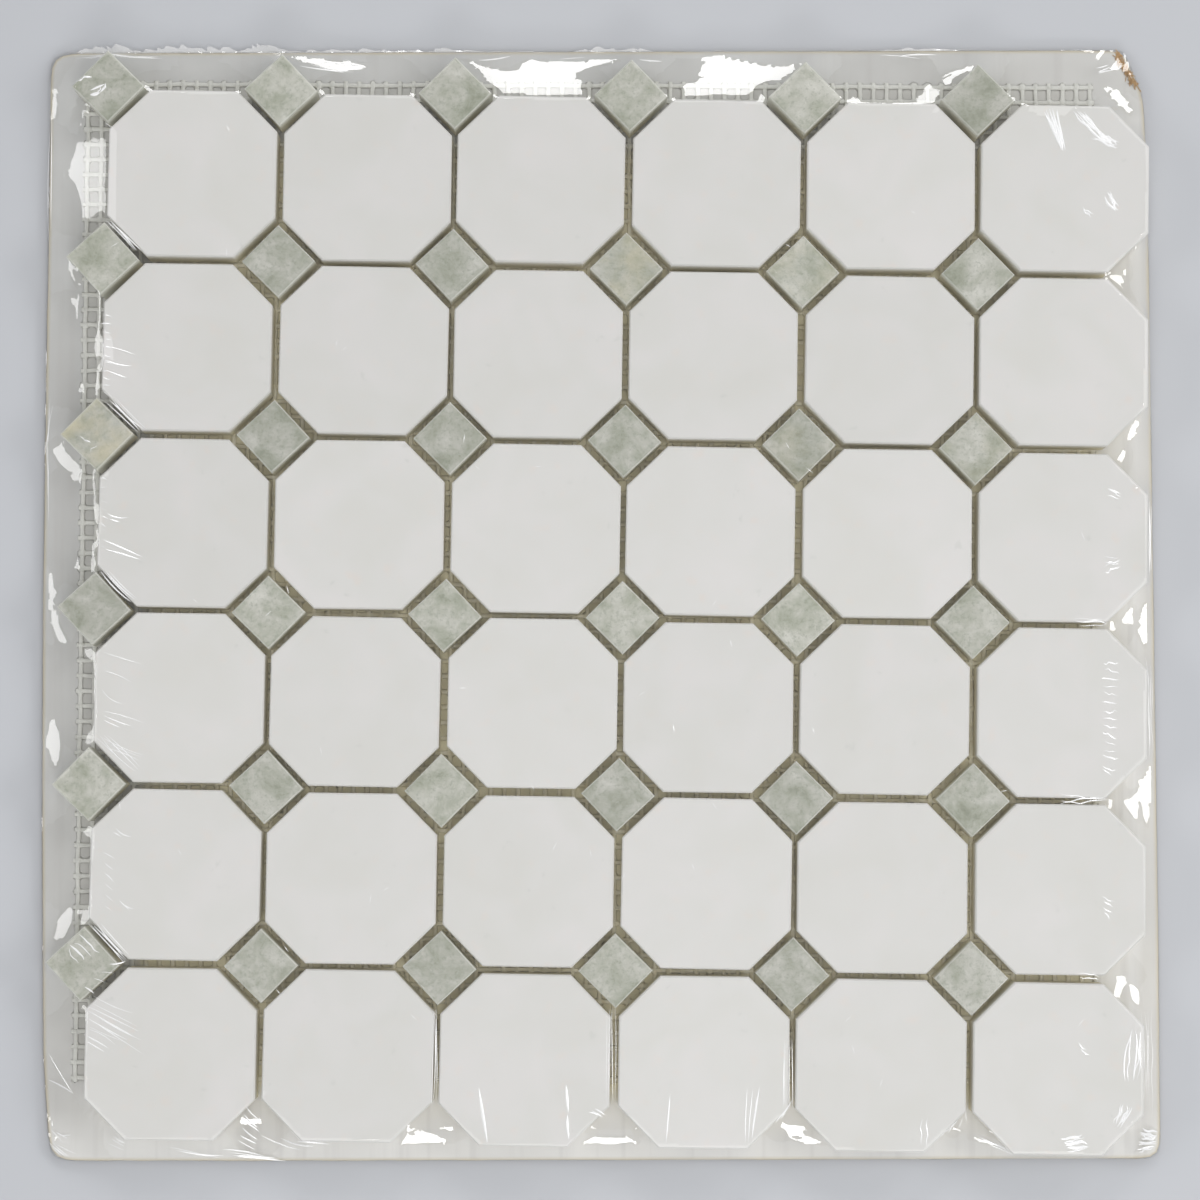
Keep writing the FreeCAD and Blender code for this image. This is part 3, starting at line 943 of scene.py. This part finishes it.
def strand_tree():
    """Strands side by side that pass over and under the crossing ones."""
    tree, entry, leave = new_tree("woven_strands", (
        ("Count", "Int", 10), ("Along", "Vector", (0, 1, 0)), ("Step", "Vector", (0.004, 0, 0)),
        ("Tail", "Vector", (0, 0, 0)), ("Bends", "Int", 50), ("Width", "Float", STRAND_WIDE),
        ("Thickness", "Float", STRAND_THICK), ("Lift", "Float", NET_LIFT), ("Finish", "Material", None)))
    backward = vector_maths(tree, "SCALE", entry["Tail"])
    backward.node.inputs["Scale"].default_value = -1
    line = joined(tree, add_node(tree, "GeometryNodeCurvePrimitiveLine", mode="POINTS"),
                  Start=backward, End=vector_maths(tree, "ADD", entry["Along"], entry["Tail"]))
    bent = joined(tree, add_node(tree, "GeometryNodeResampleCurve", mode="COUNT"), Curve=line,
                  Count=entry["Bends"])
    upright = joined(tree, add_node(tree, "GeometryNodeSetCurveNormal", mode="Z_UP"), Curve=bent)
    outline = flat_ring(tree, 5, entry["Width"], entry["Thickness"], math.radians(90))
    strand = joined(tree, add_node(tree, "GeometryNodeCurveToMesh"), Curve=upright, Profile_Curve=outline,
                    Fill_Caps=True)
    row = joined(tree, add_node(tree, "GeometryNodeMeshLine", mode="OFFSET", count_mode="TOTAL"),
                 Count=entry["Count"], Offset=entry["Step"])
    laid = joined(tree, add_node(tree, "GeometryNodeInstanceOnPoints"), Points=row, Instance=strand)
    real = joined(tree, add_node(tree, "GeometryNodeRealizeInstances"), Geometry=laid)
    place = add_node(tree, "GeometryNodeInputPosition").outputs[0]
    parts = split(tree, place)
    wave = [maths(tree, "COSINE", times(tree, parts[axis], math.pi / gap))
            for axis, gap in zip(("X", "Y"), NET_GAP)]
    lift = times(tree, times(tree, *wave), entry["Lift"])
    wander = add_node(tree, "ShaderNodeTexNoise", {"Scale": 90.0, "Detail": 1.0})
    tree.links.new(place, wander.inputs["Vector"])
    centred = vector_maths(tree, "SUBTRACT", wander.outputs["Color"], (0.5, 0.5, 0.5))
    aside = vector_maths(tree, "MULTIPLY", centred, (0.9 * MM, 0.9 * MM, 0))
    up = add_node(tree, "ShaderNodeCombineXYZ")
    tree.links.new(lift, up.inputs["Z"])
    woven = joined(tree, add_node(tree, "GeometryNodeSetPosition"), Geometry=real,
                   Offset=vector_maths(tree, "ADD", aside, up.outputs[0]))
    return finished(tree, laid_down(tree, woven, NET_HEIGHT), True, entry["Finish"], leave)


def random_vector(tree, least, most, seed):
    """A random vector for each point, between two corners."""
    values = {0: least, 1: most, "Seed": seed}
    return add_node(tree, "FunctionNodeRandomValue", values, data_type="FLOAT_VECTOR").outputs[0]


def bead_tree():
    """A low bead of glue over every crossing."""
    tree, entry, leave = new_tree("glue_beads", (
        ("Columns", "Int", 10), ("Rows", "Int", 10), ("Radius", "Float", 1.35 * MM),
        ("Depth", "Float", 0.5 * MM), ("Finish", "Material", None)))
    grid = joined(tree, add_node(tree, "GeometryNodeMeshGrid"), Size_X=NET_WIDE, Size_Y=NET_LONG,
                  Vertices_X=entry["Columns"], Vertices_Y=entry["Rows"])
    moved = joined(tree, add_node(tree, "GeometryNodeTransform"), Geometry=grid,
                   Translation=(NET_WIDE / 2, NET_LONG / 2, 0))
    bead = add_node(tree, "GeometryNodeMeshCone", {"Vertices": 7, "Side Segments": 1}, fill_type="NGON")
    feed(tree, bead.inputs["Radius Bottom"], entry["Radius"])
    feed(tree, bead.inputs["Radius Top"], times(tree, entry["Radius"], 0.45))
    feed(tree, bead.inputs["Depth"], entry["Depth"])
    turn = random_vector(tree, (0, 0, 0), (0.1, 0.1, 6.28), 4)
    size = random_vector(tree, (0.75, 0.75, 0.85), (1.25, 1.25, 1), 9)
    laid = joined(tree, add_node(tree, "GeometryNodeInstanceOnPoints"), Points=moved,
                  Instance=bead.outputs["Mesh"], Rotation=turn, Scale=size)
    return finished(tree, laid_down(tree, laid, BEAD_HEIGHT), True, entry["Finish"], leave)


def line_tree():
    """A closed rib along every drawn line, as thick as the line's girth."""
    tree, entry, leave = new_tree("ribs_on_lines", (
        ("Sides", "Int", 3), ("Flatness", "Float", 0.4), ("Turn", "Float", 0.0), ("Step", "Float", 1.0 * MM),
        ("Smooth", "Bool", False), ("Finish", "Material", None)))
    lines = joined(tree, add_node(tree, "GeometryNodeMeshToCurve"), Mesh=entry["Geometry"])
    soft = joined(tree, add_node(tree, "GeometryNodeCurveSplineType", spline_type="CATMULL_ROM"), Curve=lines)
    girth = add_node(tree, "GeometryNodeInputNamedAttribute", {"Name": "girth"}, data_type="FLOAT")
    stepped = joined(tree, add_node(tree, "GeometryNodeResampleCurve", mode="LENGTH"), Curve=soft,
                     Length=entry["Step"])
    upright = joined(tree, add_node(tree, "GeometryNodeSetCurveNormal", mode="Z_UP"), Curve=stepped)
    outline = flat_ring(tree, entry["Sides"], 1.0, entry["Flatness"], math.radians(-90))
    ribs = joined(tree, add_node(tree, "GeometryNodeCurveToMesh"), Curve=upright, Profile_Curve=outline,
                  Scale=girth.outputs["Attribute"], Fill_Caps=True)
    return finished(tree, ribs, entry["Smooth"], entry["Finish"], leave)


def drawn_lines(name, lines):
    """A mesh of open lines; each line is a list of points and girths."""
    points, edges, girths = [], [], []
    for line in lines:
        first = len(points)
        points += [tuple(map(float, point)) for point, _ in line]
        girths += [float(girth) for _, girth in line]
        edges += [(first + step, first + step + 1) for step in range(len(line) - 1)]
    mesh = bpy.data.meshes.new(name)
    mesh.from_pydata(points, edges, [])
    mesh.attributes.new("girth", "FLOAT", "POINT").data.foreach_set("value", girths)
    return mesh


RIBS = line_tree()


def ribbed(name, slot, lines, sides, flatness, step, smooth, finish):
    """Ribs along lines, as one piece."""
    settings = {"Sides": sides, "Flatness": flatness, "Step": step, "Smooth": smooth, "Finish": finish}
    handed_over(grown(name, RIBS, settings, drawn_lines(name + "_lines", lines)), slot)


# The woven net with its beads of glue

STRANDS = strand_tree()
lengthwise = grown("net_lengthwise", STRANDS, {
    "Count": NET_COLUMNS, "Along": (0, NET_LONG, 0), "Step": (NET_GAP[0], 0, 0), "Tail": (0, NET_TAIL, 0),
    "Bends": 2 * NET_ROWS + 1, "Lift": NET_LIFT, "Finish": STRAND_COAT})
handed_over(lengthwise, "glass_fibre_mesh", "mesh_lengthwise_strands")
crosswise = grown("net_crosswise", STRANDS, {
    "Count": NET_ROWS, "Along": (NET_WIDE, 0, 0), "Step": (0, NET_GAP[1], 0), "Tail": (NET_TAIL, 0, 0),
    "Bends": 2 * NET_COLUMNS + 1, "Lift": -NET_LIFT, "Finish": STRAND_COAT})
handed_over(crosswise, "glass_fibre_mesh", "mesh_crosswise_strands")
beads = grown("net_glue_beads", bead_tree(), {"Columns": NET_COLUMNS, "Rows": NET_ROWS, "Finish": BEAD_COAT})
handed_over(beads, "glass_fibre_mesh")


# The card board: two liners and the flutes between them

BOARD_STEPS = 120
LINER_THICK = 0.3 * MM
FLUTE_PITCH = 4.0 * MM
FLUTE_THICK = 0.25 * MM
CRUSHED_CORNER = np.array((156.5, 158.0)) * MM


def ragged(path):
    """The board's cut edge is a little uneven, and torn at the crushed corner."""
    uneven = []
    for x, y in path:
        torn = max(0.0, 1 - math.hypot(x - CRUSHED_CORNER[0], y - CRUSHED_CORNER[1]) / (11 * MM))
        rough = -0.12 + 0.1 * ripple(x, y, 8 * MM, 3.0) - torn * 0.9 * abs(ripple(x, y, 1.6 * MM, 9.0))
        uneven.append(rough * MM)
    return np.array(uneven)


def liner(low, high, drop):
    """One liner as a closed plate. Its rim is pressed towards the core."""
    shell = Shell()
    rim = board_line(BOARD_STEPS, 0, ragged)
    # Outwards in millimetres, height, how far pressed, and how bare it is.
    levels = ((-0.5, low, 0.0, 0.0), (0.0, low, drop, 1.0), (0.0, high, drop, 1.0),
              (-0.35, high, 0.4 * drop, 0.6), (-1.2, high, 0.0, 0.0))
    last = None
    rims = []
    for grow, height, pressed, bare in levels:
        plane = board_line(BOARD_STEPS, grow * MM) if grow else rim
        ring = shell.ring(plane, height + pressed)
        rims += [bare] * len(plane)
        if last is None:
            shell.faces.append(tuple(reversed(ring)))
        else:
            shell.band(last, ring)
        last = ring
    shell.faces.append(tuple(last))
    return shell, rims


def flutes():
    """One wavy sheet between the liners, as long at each place as the board."""
    path = board_line(BOARD_STEPS, -0.5 * MM)
    count = int((path[:, 0].max() - path[:, 0].min()) / FLUTE_PITCH * 10)
    x = np.linspace(path[:, 0].min() + 0.2 * MM, path[:, 0].max() - 0.2 * MM, count)
    ends = row_limits(path, x, axis=0)
    swing = (BOARD_FACE - BOARD_SEAT - 2 * LINER_THICK - FLUTE_THICK) / 2 - 0.01 * MM
    middle = (BOARD_FACE + BOARD_SEAT) / 2
    z = middle + swing * np.sin(x / FLUTE_PITCH * 2 * math.pi)
    points, faces = [], []
    for place, height, (low, high) in zip(x, z, ends):
        for y, side in ((low, -1), (high, -1), (high, 1), (low, 1)):
            points.append((place, y, height + side * FLUTE_THICK / 2))
    for step in range(count - 1):
        base = step * 4
        for corner in range(4):
            ahead = (corner + 1) % 4
            faces.append((base + corner, base + ahead, base + 4 + ahead, base + 4 + corner))
    faces.append((3, 2, 1, 0))
    faces.append(tuple(4 * (count - 1) + corner for corner in range(4)))
    return points, faces


def card_board():
    """Both liners and the flutes as one piece, with its bare rim marked."""
    points, faces, rims, finishes = [], [], [], []
    for low, high, drop in ((BOARD_SEAT, BOARD_SEAT + LINER_THICK, 0.1 * MM),
                            (BOARD_FACE - LINER_THICK, BOARD_FACE, -0.35 * MM)):
        shell, shell_rims = liner(low, high, drop)
        faces += [tuple(len(points) + corner for corner in face) for face in shell.faces]
        points += shell.points
        rims += shell_rims
    finishes += [0] * len(faces)
    wave_points, wave_faces = flutes()
    faces += [tuple(len(points) + corner for corner in reversed(face)) for face in wave_faces]
    points += wave_points
    rims += [0.0] * len(wave_points)
    finishes += [1] * len(wave_faces)
    piece = new_object("card_board", points, faces, CARD_LINER)
    piece.data.materials.append(KRAFT_CARD)
    piece.data.polygons.foreach_set("material_index", finishes)
    piece.data.attributes.new("rim", "FLOAT", "POINT").data.foreach_set("value", rims)
    piece.data.set_sharp_from_angle(angle=math.radians(35))
    return piece


handed_over(card_board(), "card", "backing_board")


# Creases in the film

# Each family: the two ends of its first line and the two ends of its last, in
# millimetres, the number of lines, and how bold they are.
CREASES = (
    # Left octagons, from the top down.
    (-143.3, 82.2, -140.7, 81.6, -143.4, 60.0, -141.1, 59.2, 11, 1.0),
    (-142.4, 73.4, -133.7, 71.1, -141.7, 65.9, -135.9, 64.1, 3, 1.0),
    (-143.5, 35.0, -141.8, 34.2, -143.4, 15.6, -142.0, 14.8, 10, 1.0),
    (-142.5, 16.8, -131.3, 12.1, -142.0, 14.8, -132.1, 11.0, 2, 1.0),
    (-141.5, 25.2, -135.7, 24.0, -140.9, 22.9, -137.4, 22.0, 2, 1.0),
    (-142.6, -14.7, -131.4, -18.8, -142.2, -26.2, -137.0, -29.7, 3, 1.0),
    (-142.5, -32.5, -130.7, -36.0, -142.2, -35.4, -137.6, -37.1, 3, 1.0),
    (-142.4, -39.7, -130.6, -44.9, -140.4, -42.9, -132.3, -46.3, 3, 1.0),
    (-138.8, -65.8, -134.2, -68.1, -139.4, -66.9, -136.8, -68.4, 2, 1.0),
    (-141.9, -72.7, -139.0, -74.7, -141.8, -87.8, -139.5, -89.8, 6, 1.0),
    (-137.0, -86.9, -133.2, -88.7, -136.4, -88.1, -134.4, -89.2, 2, 1.0),
    (-146.2, -116.5, -131.3, -123.9, -147.3, -126.2, -141.5, -129.6, 7, 1.0),
    (-144.2, -113.7, -133.6, -118.3, -145.6, -120.5, -130.4, -130.2, 4, 1.0),
    # Joints beside the left dots.
    (-142.6, 109.7, -134.4, 101.5, -140.3, 109.1, -132.7, 101.5, 3, 1.0),
    (-142.3, 57.4, -132.7, 48.4, -139.4, 58.3, -130.6, 49.5, 4, 1.0),
    (-143.6, 8.1, -134.6, -0.9, -141.3, 8.4, -133.2, 0.3, 4, 1.0),
    (-144.5, -39.1, -133.5, -49.8, -141.0, -39.7, -131.8, -48.6, 4, 1.0),
    (-146.4, -93.5, -136.0, -104.3, -142.9, -93.5, -134.9, -102.3, 5, 1.0),
    (-140.0, -104.9, -135.4, -104.0, -146.8, -110.6, -144.5, -113.1, 4, 1.0),
    (-149.4, -96.6, -143.2, -101.4, -152.3, -100.8, -149.2, -104.6, 4, 1.3),
    (-149.8, 47.2, -147.6, 46.4, -146.9, 43.5, -145.1, 44.0, 3, 1.2),
    # Right octagons.
    (145.5, -19.3, 149.6, -19.6, 144.9, -46.3, 148.6, -47.2, 13, 1.1),
    (147.4, 31.3, 151.4, 29.0, 147.3, 29.5, 150.2, 27.8, 3, 1.1),
    (145.9, 11.3, 150.5, 11.3, 145.9, 7.0, 150.5, 8.1, 4, 1.1),
    (144.8, -48.6, 148.6, -50.4, 144.8, -50.1, 147.4, -51.2, 2, 1.1),
    (144.3, -86.4, 147.2, -88.1, 144.3, -90.7, 147.1, -92.4, 4, 1.1),
    (132.4, -57.5, 145.0, -58.1, 132.9, -59.5, 146.2, -58.7, 3, 1.1),
    (137.3, -6.6, 146.3, -6.9, 138.2, -8.6, 146.8, -8.4, 3, 1.1),
    (136.9, -108.0, 143.2, -108.9, 137.5, -109.5, 142.6, -110.0, 2, 1.1),
    (160.0, 28.5, 159.7, 6.6, 160.9, 27.1, 160.9, 8.1, 3, 1.1),
    (159.0, -18.1, 158.9, -45.7, 160.5, -21.0, 160.4, -47.1, 3, 1.1),
    (155.6, -119.2, 155.6, -142.0, 158.8, -119.2, 158.9, -150.6, 4, 1.1),
    # Scribbles on the right corner octagons.
    (130.4, 141.6, 134.8, 131.0, 134.2, 141.8, 135.8, 129.9, 7, 2.0),
    (138.4, 141.4, 147.3, 133.0, 142.3, 141.2, 151.0, 130.5, 8, 1.7),
    (143.5, 133.6, 151.0, 130.0, 146.4, 135.3, 151.6, 132.1, 5, 1.9),
    (147.6, 116.5, 150.8, 111.8, 149.1, 117.7, 151.4, 113.6, 5, 1.9),
    (140.9, 113.6, 144.4, 111.2, 141.5, 112.4, 143.2, 110.1, 2, 1.9),
    (151.6, -124.3, 150.2, -139.0, 154.4, -124.9, 153.7, -137.9, 5, 1.9),
    (146.6, -150.3, 149.0, -145.3, 148.3, -152.0, 151.8, -146.4, 5, 1.9),
    (131.7, -155.4, 137.5, -154.3, 133.4, -158.0, 139.7, -157.6, 6, 1.9),
    (155.4, -152.9, 160.6, -154.6, 154.7, -159.7, 159.9, -159.2, 8, 1.9),
    (136.7, -127.6, 138.3, -129.9, 137.2, -129.9, 138.9, -131.6, 2, 1.9),
    # Bottom octagons and the joints between them.
    (-34.5, -140.1, -32.2, -155.4, -33.9, -143.5, -32.5, -154.3, 1, 2.4),
    (-9.4, -139.6, -9.1, -147.0, -9.1, -148.1, -9.1, -154.4, 2, 2.0),
    (19.7, -142.6, 18.8, -155.6, 19.1, -146.5, 18.5, -155.0, 1, 2.4),
    (42.3, -140.4, 41.6, -155.6, 45.7, -140.4, 43.3, -155.1, 3, 2.0),
    (91.3, -149.0, 91.8, -156.4, 93.6, -149.6, 92.9, -156.9, 2, 1.5),
    (-47.9, -118.0, -48.5, -146.9, -46.2, -118.0, -46.2, -140.7, 4, 1.0),
    (2.1, -118.1, 1.7, -146.5, 4.4, -118.1, 4.6, -142.5, 4, 1.0),
    (52.9, -126.8, 51.9, -148.9, 54.9, -126.8, 54.8, -147.2, 4, 1.0),
    (-2.8, -147.0, 0.6, -148.7, -1.1, -145.9, 1.7, -147.6, 4, 1.0),
    (51.9, -148.9, 54.8, -143.8, 50.8, -150.0, 53.7, -146.1, 3, 1.0),
    (-100.7, -145.2, -97.2, -149.2, -103.5, -155.5, -98.9, -158.3, 6, 1.0),
    (-107.8, -158.3, -97.2, -160.1, -103.5, -160.6, -90.8, -161.4, 5, 1.0),
    (-123.6, -157.1, -111.5, -160.6, -119.0, -158.8, -108.1, -160.0, 4, 1.0),
    (-140.9, -155.9, -136.8, -158.2, -139.2, -153.7, -135.7, -155.9, 3, 1.0),
    (-96.6, -153.8, -86.2, -157.8, -86.3, -155.0, -77.6, -156.1, 3, 1.0),
    (104.2, -147.4, 104.4, -150.2, 102.1, -149.6, 99.8, -153.0, 3, 1.0),
    (97.0, -153.6, 100.4, -151.9, 94.7, -155.8, 98.1, -153.6, 3, 1.0),
    (109.1, -155.0, 117.4, -158.5, 110.8, -156.7, 117.9, -159.6, 2, 1.0),
    # Bottom left corner and the left edge.
    (-159.2, -131.0, -151.0, -141.6, -158.6, -138.5, -151.0, -141.9, 2, 1.0),
    (-158.2, -152.5, -154.7, -156.2, -155.8, -154.2, -152.4, -153.6, 3, 1.0),
    (-158.6, -157.0, -155.2, -160.4, -157.5, -155.9, -151.8, -159.9, 4, 1.0),
    (-160.6, 141.5, -161.0, 105.9, -160.0, 144.4, -160.6, 111.8, 3, 1.0),
    (-160.7, 58.8, -160.9, 23.6, -159.8, 57.3, -160.6, 38.3, 3, 1.0),
    # Top edge, top left dot and top right corner.
    (-154.2, 160.6, -131.3, 159.8, -148.9, 159.3, -128.3, 160.4, 5, 1.0),
    (-87.2, 156.7, -73.7, 154.9, -81.3, 157.9, -69.0, 156.1, 3, 1.0),
    (-34.3, 158.4, -25.5, 160.1, 12.7, 158.8, 18.6, 158.2, 3, 1.0),
    (83.3, 160.7, 95.1, 158.9, 89.2, 159.8, 99.8, 160.4, 2, 1.0),
    (-147.7, 146.8, -144.6, 147.7, -147.2, 148.6, -143.2, 150.4, 2, 2.4),
    (-144.7, 147.7, -143.1, 150.2, -145.5, 147.4, -144.1, 149.9, 2, 1.6),
    (-151.8, 150.4, -149.8, 152.1, -150.0, 152.2, -146.9, 152.4, 2, 1.6),
    (146.5, 156.1, 150.9, 157.3, 147.4, 154.3, 151.5, 155.5, 3, 1.0),
)


CREASE_JITTER = 0.25 * MM
CREASE_GIRTHS = (0.15, 0.44)
CREASE_LIFT = 0.05 * MM
SCRIBBLE_SWERVE = 0.22 * MM
FLECKS = 70
FLECK_GIRTH = 0.32 * MM


def crease_lines():
    """Tapered lines on the film, jittered a little from each family's rule."""
    chance = np.random.default_rng(12)
    lines = []
    for *corners, count, bold in CREASES:
        first, last = np.array(corners).reshape(2, 2, 2) * MM
        for number in range(count):
            share = number / max(count - 1, 1)
            ends = first * (1 - share) + last * share + chance.normal(0, CREASE_JITTER, (2, 2))
            span = np.linalg.norm(ends[1] - ends[0])
            side = np.array((ends[0][1] - ends[1][1], ends[1][0] - ends[0][0])) / span
            bow = chance.normal(0, 0.05) * min(span, 7 * MM)
            girth = chance.uniform(*CREASE_GIRTHS) * MM * min(1.0, 12 * MM / span) * bold
            wild = SCRIBBLE_SWERVE if 1 < bold < 2 else 0.0
            line = []
            for step in range(6):
                along = step / 5
                swerve = bow * 4 * along * (1 - along) + chance.normal(0, 1) * wild
                x, y = ends[0] + (ends[1] - ends[0]) * along + side * swerve
                taper = 0.25 + math.sin(math.pi * along) ** 0.7
                line.append(((x, y, skin_height(x, y) + CREASE_LIFT), girth * taper))
            lines.append(line)
    # Stray flecks on the tile faces, small creases whose white is partly a painted highlight.
    for _ in range(FLECKS):
        x, y = chance.uniform(-140, 140, 2) * MM
        angle = chance.normal(math.pi / 2, 0.7)
        reach = chance.uniform(0.5, 1.4) * MM
        way = np.array((math.cos(angle), math.sin(angle))) * reach
        height = TILE_FACE + FILM_LIFT + CREASE_LIFT
        lines.append([((x + way[0] * part, y + way[1] * part, height), FLECK_GIRTH * (1.1 - abs(part)))
                      for part in (-1, -0.4, 0.4, 1)])
    return lines


ribbed("film_creases", "clear_film", crease_lines(), 3, 0.26, 0.9 * MM, False, CREASED_FILM)


# The melted seam along the top edge and round the upper left corner

# Runs along the board's line, from the top right corner to the left side: the
# steps that each starts and stops at. A bead has its strength and its layer of
# noise, and the fringe its reach in millimetres.
SEAM_STEPS = 400
SEAM_RUNS = ((812, 1010, 0.3, 0.0), (1010, 1190, 0.6, 1.0), (1110, 1192, 0.8, 2.0),
             (1120, 1180, 0.6, 3.0), (980, 1008, 0.7, 4.0), (866, 895, 0.5, 5.0))
FRINGE_RUNS = ((1112, 1195, 4.0), (1040, 1116, 1.5), (978, 1010, 2.0), (864, 897, 1.5), (1203, 1228, 0.6))
FLAKE_HALF = 0.03 * MM


def seam_lines():
    """Beads that wander along the edge, thicker and thinner."""
    edge = board_line(SEAM_STEPS, 0.15 * MM)
    lines = []
    for start, stop, strength, layer in SEAM_RUNS:
        line = []
        for index in range(start, stop, 2):
            base = edge[index % len(edge)]
            away = base / np.linalg.norm(base)
            swing = 0.45 * ripple(*base, 4 * MM, 11 + layer) + 0.25 * ripple(*base, 1.3 * MM, 13 + layer)
            x, y = base + away * swing * MM
            fade = min(1.0, (index - start) / 12, (stop - index) / 12)
            girth = strength * (0.35 + 0.3 * ripple(x, y, 2.5 * MM, 17 + layer)) * max(fade, 0.15)
            height = BOARD_FACE - 0.4 * MM + 0.5 * MM * ripple(x, y, 6 * MM, 19 + layer)
            line.append(((x, y, height), max(girth, 0.06) * MM))
        lines.append(line)
    return lines


ribbed("film_seam_bead", "clear_film", seam_lines(), 6, 0.8, 0.7 * MM, True, MELTED_FILM)


def seam_fringe():
    """Ragged flakes of film that stand out past the seam."""
    edge = board_line(SEAM_STEPS, 0.05 * MM)
    points, faces = [], []
    for start, stop, reach in FRINGE_RUNS:
        first = len(points)
        last = first + 6 * (stop - 1 - start)
        for index in range(start, stop):
            base = edge[index % len(edge)]
            away = base / np.linalg.norm(base)
            fade = min(1.0, (index - start) / 8, (stop - 1 - index) / 8)
            flake = 0.45 + 0.6 * ripple(*base, 3.2 * MM, 23.0) + 0.4 * ripple(*base, 0.9 * MM, 29.0)
            lift = 0.5 * MM * ripple(*base, 4 * MM, 31.0)
            for part in (0.0, 0.5, 1.0):
                tip = base + away * (reach * fade * max(0.08, flake)) * part * MM
                height = BOARD_FACE - 0.3 * MM + lift * part
                points += [(*tip, height + FLAKE_HALF), (*tip, height - FLAKE_HALF)]
        for here in range(first, last, 6):
            ahead = here + 6
            for part in (0, 2):
                faces.append((here + part, here + part + 2, ahead + part + 2, ahead + part))
                faces.append((here + part + 1, ahead + part + 1, ahead + part + 3, here + part + 3))
            faces.append((here + 4, here + 5, ahead + 5, ahead + 4))
            faces.append((here, ahead, ahead + 1, here + 1))
        for end, flip in ((first, False), (last, True)):
            for part in (0, 2):
                face = (end + part, end + part + 1, end + part + 3, end + part + 2)
                faces.append(tuple(reversed(face)) if flip else face)
    return new_object("film_seam_fringe", points, faces, MELTED_FILM, smooth=False)


handed_over(seam_fringe(), "clear_film")


# Torn card at the crushed corner: curled fibres of the brown core

TORN_ENDS = np.array(((154.2, 161.2), (159.6, 151.6)))
TORN_FIBRES = 90


def torn_lines():
    """Short arched fibres along the torn edge."""
    chance = np.random.default_rng(5)
    lines = []
    for _ in range(TORN_FIBRES):
        along = chance.uniform(0, 1)
        aside = chance.uniform(0, 1.6, 2) * (1, 0.6)
        middle = TORN_ENDS[0] * (1 - along) + TORN_ENDS[1] * along - aside
        angle = chance.normal(math.radians(-62), 0.55)
        reach = chance.uniform(1.0, 3.4)
        way = np.array((math.cos(angle), math.sin(angle))) * reach
        rise = chance.uniform(0.1, 0.9)
        line = []
        for step in range(4):
            part = step / 3
            x, y = (middle + way * (part - 0.5)) * MM
            height = min(BOARD_FACE + rise * math.sin(math.pi * part) * MM, skin_height(x, y) - 0.1 * MM)
            line.append(((x, y, max(height, BOARD_FACE - 0.5 * MM)), chance.uniform(0.12, 0.4) * MM))
        lines.append(line)
    return lines


ribbed("torn_card_corner", "card", torn_lines(), 4, 0.5, 0.5 * MM, False, KRAFT_CARD)


# Floor, lamps and world

FLOOR_HALF = 3
FLOOR_HEIGHT = -0.2 * MM
# Name, compass turn and elevation in degrees, distance, width, height, how
# bright the face is, and whether the film and the stones mirror it.
LAMPS = (
    ("key", -52, 66, 1.0, 0.7, 0.7, 1.24, False),
    ("fill", -90, 72, 1.0, 0.7, 0.7, 1.22, False),
    ("window_top", 88, 35, 2.3, 0.9, 0.6, 6.5, True),
    ("window_left", 176, 35, 2.3, 1.3, 0.6, 4.0, True),
    ("window_right", 4, 35, 2.3, 1.2, 0.6, 6.0, True),
    ("window_front", -88, 35, 2.3, 1.2, 0.36, 8.0, True),
    ("window_corner", 45, 35, 2.3, 0.6, 0.6, 6.0, True),
)
WORLD_COLOUR = (0.97, 0.98, 1.0, 1)
WORLD_STRENGTH = 0.3


def floor_finish():
    material, tree, out = new_finish("floor_paper")
    surface(tree, out, srgb(186, 188, 192), 0.9, shine=0.2)
    return material


floor_points = [(*corner, FLOOR_HEIGHT) for corner in square_line(1, FLOOR_HALF)]
floor = new_object("floor", floor_points, [(0, 1, 2, 3)], floor_finish(), False)


def soft_box(name, turn, elevation, distance, wide, high, radiance, mirrored):
    """A lamp that faces the sheet. Its power follows from its size and from
    how bright its face is."""
    data = bpy.data.lights.new(name, "AREA")
    data.shape = "RECTANGLE"
    data.size = wide
    data.size_y = high
    data.energy = radiance * math.pi * wide * high
    lamp = bpy.data.objects.new(name, data)
    turn, elevation = math.radians(turn), math.radians(elevation)
    level = distance * math.cos(elevation)
    lamp.location = (level * math.cos(turn), level * math.sin(turn), distance * math.sin(elevation))
    lamp.rotation_euler = (-Vector(lamp.location)).to_track_quat("-Z", "Y").to_euler()
    lamp.visible_camera = False
    lamp.visible_glossy = mirrored
    scene.collection.objects.link(lamp)


for settings in LAMPS:
    soft_box(*settings)

world = bpy.data.worlds.new("studio")
world.use_nodes = True
background = world.node_tree.nodes["Background"]
background.inputs["Color"].default_value = WORLD_COLOUR
background.inputs["Strength"].default_value = WORLD_STRENGTH
scene.world = world
